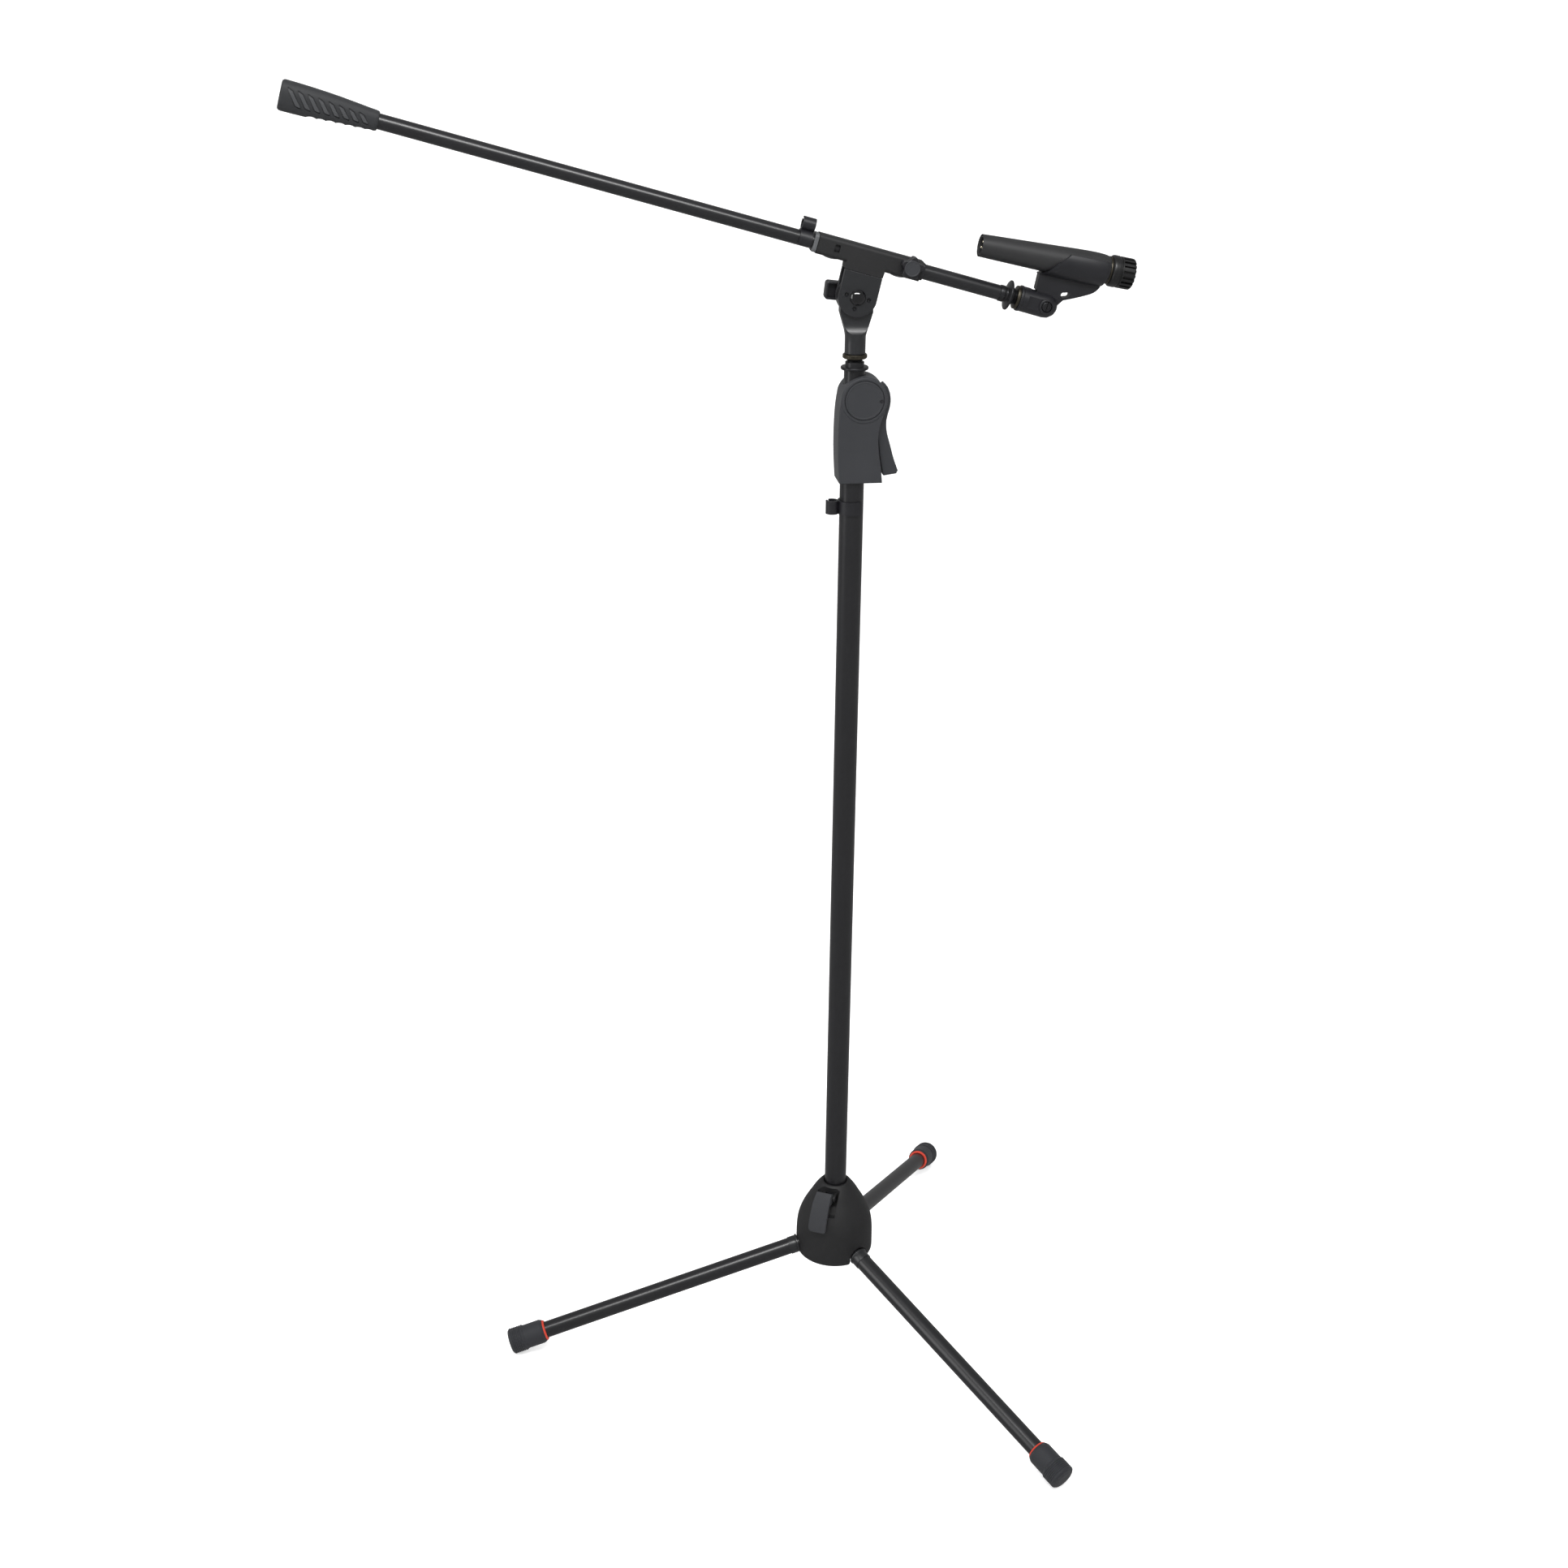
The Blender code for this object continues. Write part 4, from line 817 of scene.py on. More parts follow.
@dataclass
class TripodHub:
    """Bell-shaped housing at the foot of the column, with its paddle latch."""

    bore: float = 12.9
    top: float = 95.4
    rim: float = 1.0
    slot_half: float = 11.75
    wall: float = 3.0
    arch_depth: Pair = (-9.0, 45.0)
    latch_azimuth: float = 241.7
    latch_pivot: Pair = (22.5, 83.0)
    latch_pin_hole: float = 1.75
    lug_ends: Pair = (5.4, 8.4)
    recess_sides: Pair = (-15.5, 11.5)
    paddle_shift: float = -5.6
    paddle_width: float = 20.6
    bell: tuple[Pair, ...] = (
        (17.2, 94.2), (20, 91), (24.8, 84.3), (29, 77), (33, 70.3), (36.4, 64), (39.2, 58), (41.4, 52),
        (43, 46), (44, 39), (44.5, 32), (44.7, 24), (44.7, 9), (43.9, 5.2), (42.2, 2.6), (39.6, 1.0),
    )  # fmt: skip

    def shell(self) -> bpy.types.Object:
        """The bell, turned, before anything is cut in it."""
        lip = [(self.bore, 93.2), (self.bore + 0.9, self.top - 0.3), (15.6, self.top), (16.5, self.top - 0.4)]
        inside = [(17.0, self.rim), (17.0, 4.3), (self.bore, 4.3)]
        return turned("bell_housing", lip + flow(self.bell, 3) + inside, 120, ring=True)

    def cut_leg_slot(self, shell: bpy.types.Object, azimuth: float) -> None:
        """Cut the arch for one leg and the hollow beside it."""
        fall = math.tan(math.radians(STANCE.slope))
        pivot = STANCE.pivot_radius
        pivot_z = STANCE.apex - pivot * fall
        hinge = at_mm(pivot, 0, pivot_z) @ turn_y(math.radians(STANCE.slope)) @ turn_y(QUARTER)
        place = turn_z(math.radians(azimuth)) @ hinge
        low, high = self.arch_depth
        arch = moved(rod("arch", self.slot_half, low, high, Axis.Z), place)
        combine(shell, arch)
        inner, outer, below = 16.6, 60.0, -20.0
        mouth_line = [
            (inner, below), (outer, below),
            (outer, pivot_z - (outer - pivot) * fall), (inner, pivot_z + (pivot - inner) * fall),
        ]  # fmt: skip
        mouth = pushed("mouth", mouth_line, -self.slot_half, self.slot_half, Axis.Y)
        combine(shell, moved(mouth, turn_z(math.radians(azimuth))))
        hollow = pushed("hollow", self.hollow_line(), -5, 36, Axis.Z)
        combine(shell, moved(hollow, turn_z(math.radians(azimuth + 60))))

    def hollow_line(self) -> list[Pair]:
        """Outline of a hollow between two legs, seen from below."""
        clear = self.slot_half + self.wall
        line: list[Pair] = []
        for radius, side in ((19.5, 1), (37.6, -1)):
            half = 60 - math.degrees(math.asin(clear / radius))
            line += arc((0, 0), radius, side * half, -side * half, 12)
        return line

    def build_shell(self) -> None:
        """The bell with its slots, the latch's recess and lugs."""
        shell = self.shell()
        for azimuth in STANCE.azimuths:
            self.cut_leg_slot(shell, azimuth)
        turn = turn_z(math.radians(self.latch_azimuth))
        floor = [(16.4, 93.4), (16.4, 78), (21, 70.5, 6), (29.5, 64.5, 6), (60, 64.5), (60, 93.4)]
        left, right = self.recess_sides
        combine(shell, moved(pushed("recess", soften(floor, True), left, right, Axis.Y), turn))
        radius = self.latch_pivot[0]
        lug = [(15, 78.5), (radius, 78.5), *arc(self.latch_pivot, 4.0, -80, 80, 10), (radius, 87.2), (15, 87.2)]
        for side in (-1, 1):
            ends = sorted(side * end for end in self.lug_ends)
            combine(shell, moved(pushed("lug", lug, ends[0], ends[1], Axis.Y), turn), Cut.JOIN)
        hole = rod("hole", self.latch_pin_hole, -9, 9, Axis.Y, self.latch_pivot)
        combine(shell, moved(hole, turn))
        turn_edges(shell, 0.55, 2, 48)
        hand_over(shell, UPRIGHT, "hub", ["hub_shell"], GRAINED_NYLON, 34)

    def build_latch(self) -> None:
        """Paddle with a crowned face, its neck and its cam barrel."""
        blade = [
            (25.6, 90.2, 0.8), (26.5, 91.5, 0.8), (30.6, 87.2), (34.6, 81.6), (39.5, 74), (44.5, 64), (48.2, 54.5),
            (49.3, 50.8, 0.8), (48.2, 49.8, 0.8), (46, 50.2), (41.8, 60), (37.4, 69), (32, 77.5), (28.8, 81.6),
        ]  # fmt: skip
        half = self.paddle_width / 2
        latch = pushed("latch_paddle", soften(blade, True), -half, half, Axis.Y)
        face = [(-half, 50, 6), (half, 50, 2.5), (half, 93, 2), (3 - half, 93, 2), (0.6 - half, 80), (-half, 66)]
        combine(latch, pushed("face", soften(face, True), 20, 60, Axis.X), Cut.SHARED)
        turn_edges(latch, 1.3, 4, 55)
        moved(latch, at_mm(0, self.paddle_shift, 0))
        centre_r, centre_z = self.latch_pivot
        neck = [(0, 4.8), (0, -4.8), (4, -5.5), (9, -5.4), (10.5, 0), (6.5, 4.6)]
        neck_line = [(a + centre_r, b + centre_z) for a, b in neck]
        combine(latch, pushed("neck", neck_line, -5, 5, Axis.Y), Cut.JOIN)
        combine(latch, rod("barrel", 4.8, -4.9, 4.9, Axis.Y, self.latch_pivot), Cut.JOIN)
        combine(latch, rod("bore", self.latch_pin_hole, -7, 7, Axis.Y, self.latch_pivot))
        place = turn_z(math.radians(self.latch_azimuth))
        hand_over(latch, place, "latch", ["hub_latch"], SOFT_TOUCH, 40, crisp=True)

    def build(self) -> None:
        """The housing, the latch and what shows inside them."""
        self.build_shell()
        self.build_latch()
        dress("latch_pin", PLATED_STEEL)
        dress("hub_clamp_shoe", SMOOTH_NYLON)


@dataclass
class Legs:
    """Three folding legs: flanged knuckle, tube, red ring and rubber foot."""

    names: tuple[str, ...] = ("leg_left", "leg_front", "leg_back")
    radius: float = 9.5
    wall: float = 1.2
    pin_hole: float = 2.65
    tube_start: float = 47.5
    ferrule_end: float = 56.0
    end: float = 404.0
    foot_length: float = 42.5
    foot_radius: float = 15.1
    sleeve_radius: float = 13.9
    grooves: int = 6
    groove_pitch: float = 2.1

    def place(self, azimuth: float) -> Matrix:
        """Axes of a leg: Z runs out along it from the column's axis."""
        level = at_mm(0, 0, STANCE.apex) @ turn_z(math.radians(azimuth))
        return level @ turn_y(math.radians(STANCE.slope)) @ turn_y(QUARTER)

    def knuckle(self) -> bpy.types.Object:
        """Casting with an eye for the hinge pin and a flanged socket for the tube."""
        start = STANCE.pivot_radius / math.cos(math.radians(STANCE.slope))
        shoulder = self.tube_start - 3.0
        socket = self.radius + FIT
        inner = self.radius - self.wall - FIT
        profile: list[Corner] = [
            (0, start + 4), (8, start + 5, 1.5), (9, shoulder), (11.0, shoulder, 0.7), (11.0, shoulder + 2.2, 0.7),
            (10.0, shoulder + 2.6, 0.2), (10.0, shoulder + 3.4, 0.2), (10.2, shoulder + 3.8, 0.2),
            (10.2, self.ferrule_end, 0.3), (socket, self.ferrule_end), (socket, self.tube_start - FIT),
            (inner, self.tube_start - FIT), (inner, self.ferrule_end + 14), (0, self.ferrule_end + 14),
        ]  # fmt: skip
        piece = turned("leg_knuckle_casting", soften(profile), 72)
        # On these axes the leg runs along Z and down is +X.
        eye = [(b, a + start) for a, b in arc((0, 0), 8, 60, 300, 24) + [(4, -7.6), (9, -7), (9, 7), (4, 7.6)]]
        lug = pushed("eye", eye, -8, 8, Axis.Y)
        combine(piece, lug, Cut.JOIN)
        combine(piece, rod("eye_hole", self.pin_hole, -12, 12, Axis.Y, (0, start)))
        return piece

    def tube(self) -> bpy.types.Object:
        """The steel tube."""
        return pipe("leg_tube", self.radius, self.wall, self.tube_start, self.end - 14)

    def ring(self) -> bpy.types.Object:
        """The thin red ring between tube and foot."""
        mouth = self.end - self.foot_length
        bore = self.radius + FIT
        profile = [
            (bore, mouth - 2.2), (bore + 0.9, mouth - 2.4, 0.5), (11.6, mouth - 1.4, 0.5), (12.2, mouth - 0.25),
            (bore, mouth - 0.25),
        ]  # fmt: skip
        return turned("leg_red_ring", soften(profile, closed=True), 96, True)

    def foot(self) -> bpy.types.Object:
        """Rubber foot: smooth sleeve, a step up to the grooved tread, and a domed end."""
        mouth = self.end - self.foot_length
        tread = mouth + 24.5
        bore = self.radius + FIT
        profile: list[Corner] = [
            (0, self.end - 13), (bore, self.end - 13), (bore, mouth), (12.4, mouth, 0.5),
            (self.sleeve_radius, mouth + 3.4, 2.5), (self.sleeve_radius, tread - 1.6, 1.0),
            (self.foot_radius, tread + 0.4, 0.8),
        ]  # fmt: skip
        for index in range(self.grooves):
            start = tread + 1.4 + index * self.groove_pitch
            crest = self.foot_radius
            profile += [(crest, start, 0.3), (crest - 0.75, start + 0.8, 0.3), (crest, start + 1.6, 0.3)]
        profile += [
            (self.foot_radius, self.end - 2.8, 1.6), (self.foot_radius - 2.2, self.end - 0.9, 2.0),
            (self.foot_radius - 7, self.end - 0.1, 5.0), (0, self.end),
        ]  # fmt: skip
        return turned("rubber_foot", soften(profile, steps=3), 96)

    def build(self) -> None:
        """Each piece once, then a copy on every leg."""
        kinds = (
            (self.knuckle(), "leg_knuckle", PAINTED_ZINC, 35),
            (self.tube(), "leg_tube", POWDER_COAT, 35),
            (self.ring(), "leg_ring", RED_SILICONE, 40),
            (self.foot(), "foot_cap", VULCANISED, 50),
        )
        for model, node, finish, smooth in kinds:
            for index, (body, azimuth) in enumerate(zip(self.names, STANCE.azimuths), 1):
                piece = copied(model, f"{model.name}_{index}")
                hand_over(piece, self.place(azimuth), body, [f"{node}_{index}"], finish, smooth)
            bpy.data.objects.remove(model, do_unlink=True)
        for index in range(1, 4):
            dress(f"leg_pin_{index}", PLATED_STEEL)


@dataclass
class CableClip:
    """Snap band round a tube with an open loop for the cable."""

    name: str
    node: str
    body: str
    tube_radius: float
    loop_at: float
    width: float
    place: Matrix
    gap_from: float = -22.0
    wrap_deg: float = 128.0
    loop_radii: Pair = (6.6, 4.6)

    def build(self) -> None:
        """Band and loop in one moulding with rounded edges."""
        inner = self.tube_radius + FIT
        half = self.width / 2
        wrap = self.wrap_deg
        band = arc((0, 0), inner + 1.6, -wrap, wrap, 49) + arc((0, 0), inner, wrap, -wrap, 49)
        clip = pushed(self.name, band, -half, half, Axis.Z)
        middle = (self.loop_at, 0)
        outer, hole = self.loop_radii
        gap_to = self.gap_from + 320
        loop = arc(middle, outer, self.gap_from, gap_to, 49) + arc(middle, hole, gap_to, self.gap_from, 49)
        combine(clip, pushed("loop", loop, -half, half, Axis.Z), Cut.JOIN)
        turn_edges(clip, 0.45, 2, 50)
        hand_over(clip, self.place, self.body, [self.node], SMOOTH_NYLON, 40, crisp=True)


@dataclass
class Column:
    """Column tube with its end plug and cable clip."""

    radius: float = 12.5
    wall: float = 1.4
    low: float = 4.3
    top: float = 960.0
    clip_z: float = 911.0
    clip_loop: float = 20.3
    clip_width: float = 14.0

    def build(self) -> None:
        """Tube, plug and clip."""
        tube = pipe("column_steel_tube", self.radius, self.wall, self.low, self.top, 120)
        hand_over(tube, UPRIGHT, "column", ["column_tube"], POWDER_COAT)
        stem = self.radius - self.wall - FIT
        plug_line: list[Corner] = [(0, 0), (15.5, 0, 1.0), (15.5, 4, 0.6), (stem, 4), (stem, 24, 0.8), (0, 24)]
        plug = turned("column_end_plug", soften(plug_line), 96)
        hand_over(plug, UPRIGHT, "column", ["column_plug"], SMOOTH_NYLON)
        place = at_mm(0, 0, self.clip_z) @ turn_z(HALF_TURN)
        names = ("column_cable_band", "column_cable_clip", "column")
        CableClip(*names, self.radius, self.clip_loop, self.clip_width, place).build()


@dataclass
class Clutch:
    """One-hand height clutch: soft-touch body with a round cover, squeeze lever and pin."""

    base: float = 939.0
    half: float = 16.0
    eye: Pair = (8.5, 1025.0)
    eye_radius: float = 24.0
    disc_radius: float = 20.2
    pin_at: Pair = (25.9, 1024.3)
    pin_hole: float = 2.15
    lower_bore: float = 12.8
    upper_bore: float = 11.1
    lever_half: float = 8.4
    rim_height: float = 0.8

    def outline(self) -> list[Pair]:
        """Side outline of the body."""
        right = flow([(29, self.base), (27.2, 955), (24.8, 971), (23.8, 985), (24.8, 996.5), (28, 1007.5)], 4)
        head = arc(self.eye, self.eye_radius, -28, 165, 40)
        left = flow([(-14.7, 1031.2), (-16.6, 1018), (-17.6, 1003), (-18, 981), (-17.4, 960), (-16, self.base)], 4)
        return right + head[1:] + left[1:]

    def build_body(self) -> None:
        """Body bored for both tubes, with a raised rim round the cover's seat."""
        body = pushed("clutch_housing", self.outline(), -self.half, self.half, Axis.Y)
        turn_rims(body, 3.2, 6, self.half, self.base + 0.01)
        turn_edges(body, 0.5, 2, 60)
        rim_line: list[Corner] = [
            (self.disc_radius + 0.25, -2), (self.eye_radius - 0.2, -2), (self.eye_radius - 0.2, -0.4, 0.4),
            (self.eye_radius - 1.2, self.rim_height, 0.9), (self.disc_radius + 0.25, self.rim_height, 0.35),
        ]  # fmt: skip
        seat = rod("seat", self.disc_radius + 0.3, -self.half - 3, -self.half + 1.4, Axis.Y, self.eye)
        combine(body, rod("lower_bore", self.lower_bore, self.base - 5, 960.3, Axis.Z))
        combine(body, rod("upper_bore", self.upper_bore, 955, 1060, Axis.Z))
        well_line = [(14.3, self.base + 5), (60, self.base + 5), (60, 1042), (14.3, 1042)]
        combine(body, pushed("well", well_line, 7 - self.half, self.half - 7, Axis.Y))
        combine(body, seat)
        hole_end = self.half - 2.2
        combine(body, rod("pin_hole", self.pin_hole, -hole_end, hole_end, Axis.Y, self.pin_at))
        hand_over(body, UPRIGHT, "column", ["clutch_body"], SOFT_TOUCH, 34, crisp=True)
        rim = turned("clutch_cover_rim", soften(rim_line, closed=True), 120, True)
        facing = at_mm(self.eye[0], -self.half, self.eye[1]) @ TO_FRONT
        hand_over(rim, facing, "column", [], SOFT_TOUCH, 40)

    def build_cover(self) -> None:
        """Round cover with a shallow dish and a fine edge, and the eyelet at the pin beside it."""
        radius = self.disc_radius - 0.35
        line: list[Corner] = [
            (0, -1.0), (radius, -1.0), (radius, 0.55, 0.5), (radius - 1.6, 0.75, 0.6), (radius - 2.4, 0.45, 0.8),
            (0, 0.5),
        ]  # fmt: skip
        cover = turned("clutch_round_cover", soften(line), 120)
        facing = at_mm(self.eye[0], -self.half, self.eye[1]) @ TO_FRONT
        hand_over(cover, facing, "column", ["clutch_disc"], SOFT_TOUCH, 40)
        eyelet_line = [(0.9, 0.3), (0.9, 1.0, 0.2), (1.9, 1.0, 0.4), (1.9, 0.3)]
        eyelet = turned("clutch_pin_eyelet", soften(eyelet_line, closed=True), 48, True)
        spot = at_mm(self.pin_at[0], -self.half, self.pin_at[1]) @ TO_FRONT
        hand_over(eyelet, spot, "column", [], BLACK_OXIDE, 40)
        dress("clutch_pin", PLATED_STEEL)

    def build_lever(self) -> None:
        """Squeeze lever with a flared tail."""
        outer = flow([(46.4, 949.8), (41.5, 963), (37.7, 976.5), (34.6, 987), (33.1, 995.5), (33.1, 1003)], 3)
        outer += flow([(34.6, 1010), (36.4, 1017), (36.9, 1024), (35.8, 1031), (33.4, 1037)], 3)
        outline = [(31, 944.6), (44.8, 946.6, 1.2), *outer, (30.5, 1040), (27, 1037), (20, 1032), (17, 1024)]
        outline += [(17, 1016), (20, 1005), (24.5, 985), (27, 965)]
        lever = pushed("clutch_squeeze_lever", soften(outline, True), -self.lever_half, self.lever_half, Axis.Y)
        turn_edges(lever, 1.8, 4, 60)
        combine(lever, rod("bore", self.pin_hole, -12, 12, Axis.Y, self.pin_at))
        hand_over(lever, UPRIGHT, "squeeze_lever", ["clutch_lever"], SOFT_TOUCH, 36, crisp=True)

    def build(self) -> None:
        """Everything on the clutch."""
        self.build_body()
        self.build_cover()
        self.build_lever()


@dataclass
class Mast:
    """Height tube, its flanged thread and the knurled lock ring."""

    radius: float = 10.7
    wall: float = 1.4
    bottom: float = 205.0
    top: float = 1054.0
    stud_radius: float = 7.9
    stud_top: float = 1084.0
    ring_radius: float = 12.5
    ring_z: Pair = (1065.6, 1070.0)
    teeth: int = 48

    def build_stud(self) -> None:
        """Flange, neck and thread in one turned part."""
        inner = self.radius - self.wall - FIT
        top = self.top + FIT
        line: list[Corner] = [
            (0, self.top - 25), (inner, self.top - 25, 0.5), (inner, top), (13.6, top, 0.4), (14.25, top + 0.7, 0.4),
            (14.25, top + 2.2, 0.4), (13.6, top + 2.9, 0.4), (9.7, top + 2.9, 0.3), (9.7, 1062, 0.4), (7.4, 1062.4),
        ]  # fmt: skip
        thread_low = 1062.8
        turns = int((self.stud_top - 1 - thread_low) / THREAD_PITCH)
        line += thread(self.stud_radius, thread_low, turns)
        line += [(self.stud_radius - 1, self.stud_top, 0.3), (0, self.stud_top)]
        stud = turned("flanged_stud", soften(line, steps=3), 96)
        hand_over(stud, UPRIGHT, "mast", ["thread_stud"], BLACK_OXIDE, 28)

    def build_ring(self) -> None:
        """Lock ring with a straight knurl."""
        low, high = self.ring_z
        outline: list[Pair] = []
        for tooth in range(self.teeth):
            middle = math.tau * tooth / self.teeth
            for offset, depth in ((-0.3, 0.0), (0.0, 0.0), (0.25, 0.45), (0.45, 0.45)):
                angle = middle + offset * math.tau / self.teeth
                radius = self.ring_radius - depth
                outline.append((radius * math.cos(angle), radius * math.sin(angle)))
        ring = pushed("knurled_ring", outline, low, high, Axis.Z)
        shape: list[Corner] = [
            (8.2, low), (11.6, low), (12.6, low + 0.9), (12.6, high - 0.9), (11.6, high), (8.2, high),
        ]  # fmt: skip
        combine(ring, turned("ring_shape", soften(shape, True), 96, True), Cut.SHARED)
        hand_over(ring, UPRIGHT, "jam_ring", ["lock_ring"], AGED_BRASS, 20)

    def build(self) -> None:
        """Tube, stud and ring."""
        tube = pipe("height_tube", self.radius, self.wall, self.bottom, self.top)
        hand_over(tube, UPRIGHT, "mast", ["upper_tube"], POWDER_COAT)
        self.build_stud()
        self.build_ring()


@dataclass
class BoomHead:
    """Swivel yoke, clamp cheeks, boom holder and its knobs."""

    yoke_base: float = 1070.3
    neck_radius: float = 10.6
    tongue_half: float = 5.9
    eye_radius: float = 19.6
    scoop_radius: float = 17.0
    scoop_top: float = 1103.0
    holder_half: float = 10.0
    holder_corner: float = 4.0
    ends: Pair = (-53.5, 54.8)
    bore: float = 7.9
    seam: float = 24.0
    bolt_radius: float = 4.0
    dome_radius: float = 8.0
    dimple_circle: float = 11.6
    window_at: float = -33.8
    knob_at: Pair = (42.5, 42.5)
    knob_radii: Pair = (11.4, 7.9)
    knob_lobes: int = 5
    handle_turn: float = 9.0

    def build_yoke(self) -> None:
        """Round neck, hollowed front and back up to the flat tongue."""
        side = [(10.6, 1078), (10.6, 1090), (11.9, 1096.5), (14.2, 1104), (16.7, 1112.5)]
        outline = flow(side, 4) + arc((0, PIVOT_Z), self.eye_radius, -32, 212, 48)
        outline += [(-x, z) for x, z in reversed(flow(side, 4))]
        yoke = pushed("swivel_yoke_casting", outline, -self.neck_radius, self.neck_radius, Axis.Y)
        column = [(0, self.yoke_base), (self.neck_radius, self.yoke_base, 0.8), (self.neck_radius, 1088)]
        column += [(13.2, 1096.5), (16.8, 1104), (21.5, 1111), (27, 1118), (27, 1160), (0, 1160)]
        combine(yoke, turned("neck_shape", soften(column), 96), Cut.SHARED)
        foot = [(0, self.yoke_base), (self.neck_radius, self.yoke_base, 0.8), (self.neck_radius, 1082), (0, 1082)]
        combine(yoke, turned("neck_foot", soften(foot), 96), Cut.JOIN)
        reach = self.scoop_radius + self.tongue_half
        run = reach - self.neck_radius - 3
        lift = math.sqrt(self.scoop_radius**2 - run**2)
        start = math.degrees(math.atan2(-lift, run))
        scoop = arc((-reach, self.scoop_top), self.scoop_radius, start, 0, 20)
        scoop += [(-self.tongue_half, 1160), (-40, 1160), (-40, scoop[0][1])]
        for mirror in (1, -1):
            line = [(a * mirror, b) for a, b in scoop]
            combine(yoke, pushed("scoop", line, -40, 40, Axis.X))
        combine(yoke, rod("stud_bore", 8.2, self.yoke_base - 5, 1084.3, Axis.Z))
        combine(yoke, rod("eye_hole", self.bolt_radius + PIN_FIT, -20, 20, Axis.Y, (0, PIVOT_Z)))
        turn_edges(yoke, 0.5, 2, 42)
        hand_over(yoke, UPRIGHT, "head", ["swivel_yoke"], PAINTED_ZINC, 40, crisp=True)

    def build_cheeks(self) -> None:
        """Two clamp plates; the front one has three dimples."""
        outline = [(-20.8, self.seam), (-19.8, 4.0), *arc((0, 0), self.eye_radius + 0.3, 184, 356, 40)]
        outline += [(19.6, 4.0), (18.6, self.seam)]
        inner = self.tongue_half + FIT
        for name, node, low, high in (
            ("clamp_cheek_front", "cheek_front", -self.holder_half, -inner),
            ("clamp_cheek_rear", "cheek_rear", inner, self.holder_half),
        ):
            cheek = pushed(name, outline, low, high, Axis.Y)
            turn_edges(cheek, 0.7, 3, 50)
            combine(cheek, rod("hole", self.bolt_radius + PIN_FIT, -15, 15, Axis.Y))
            if node == "cheek_front":
                for angle in (180, 0, 270):
                    spot = arc((0, 0), self.dimple_circle, angle, angle + 1, 2)[0]
                    pit = turned("dimple", [(0, -2.6), (1.1, -2.2), (2.3, 0.0), (2.5, 2), (0, 2)], 36)
                    facing = at_mm(spot[0], -self.holder_half, spot[1]) @ TO_FRONT
                    combine(cheek, moved(pit, facing))
            hand_over(cheek, TILTED, "holder", [node], PAINTED_ZINC, 40, crisp=True)

    def build_holder(self) -> None:
        """Square sleeve with a lug below it, a small window and pads under its ends."""
        left, right = self.ends
        half = self.holder_half
        line = [(a, b + BOOM_RISE) for a, b in rounded_box(half, half, self.holder_corner)]
        holder = pushed("boom_sleeve", line, left, right, Axis.X)
        lug = [(-20.8, self.seam + FIT), (18.6, self.seam + FIT), (19.2, BOOM_RISE - 6), (-21.6, BOOM_RISE - 6)]
        combine(holder, pushed("lug", lug, -half + 0.01, half - 0.01, Axis.Y), Cut.JOIN)
        lying = at_mm(0, 0, BOOM_RISE) @ turn_y(QUARTER)
        combine(holder, moved(drill(self.bore, left - 9, right + 9), lying))
        window = [(a + self.window_at, b + BOOM_RISE + 0.4) for a, b in rounded_box(2.8, 4.0, 1.2)]
        combine(holder, pushed("window", window, -half - 2, -half + 2.6, Axis.Y))
        combine(holder, rod("knob_hole", 3.0, -half - 2, -half + 5, Axis.Y, self.knob_at))
        turn_edges(holder, 0.45, 2, 50)
        hand_over(holder, TILTED, "holder", ["boom_holder"], GRAINED_NYLON, 36, crisp=True)
        for name, middle in (("sleeve_pad_left", left + 16), ("sleeve_pad_right", right - 22)):
            pad_line = [(-9, 0.4), *arc((0, 23.6), 25.0, -110, -70, 14), (9, 0.4)]
            pad = pushed(name, pad_line, -4.5, 4.5, Axis.Y)
            turn_edges(pad, 0.3, 2, 60)
            spot = TILTED @ at_mm(middle, 0, BOOM_RISE - half)
            hand_over(pad, spot, "holder", [], GREY_ACETAL, 40)

    def build_ends(self) -> None:
        """Grey guide bush at the left end and a thin cap at the right one."""
        left, right = self.ends
        half = self.holder_half
        for name, node, low, high, size, finish in (
            ("guide_bush", "holder_bush_left", left - 4.5, left - FIT, half - 0.6, GREY_ACETAL),
            ("sleeve_end_cap", "holder_cap_right", right + FIT, right + 3.0, half - 1.4, SMOOTH_NYLON),
        ):
            line = [(a, b + BOOM_RISE) for a, b in rounded_box(size, size, self.holder_corner)]
            piece = pushed(name, line, low, high, Axis.X)
            turn_edges(piece, 0.6, 3, 50)
            bore = drill(self.bore, low - 9, high + 9)
            combine(piece, moved(bore, at_mm(0, 0, BOOM_RISE) @ turn_y(QUARTER)))
            hand_over(piece, TILTED, "holder", [node], finish, 36, crisp=True)

    def build_bolt(self) -> None:
        """Domed bolt through the cheeks, a dark mirror at the front."""
        face = self.holder_half + FIT
        dome = [(0, face + 4.6), *arc((0, face - 5.2), 9.8, 90, 36, 12)[1:], (self.dome_radius, face + 0.35)]
        line = dome + [(self.dome_radius, face), (self.bolt_radius, face), (self.bolt_radius, -23.0), (0, -23.0)]
        bolt = turned("domed_bolt", line, 96)
        place = TILTED @ TO_FRONT
        hand_over(bolt, place, "holder", ["pivot_bolt"], BLACK_CHROME, 30)

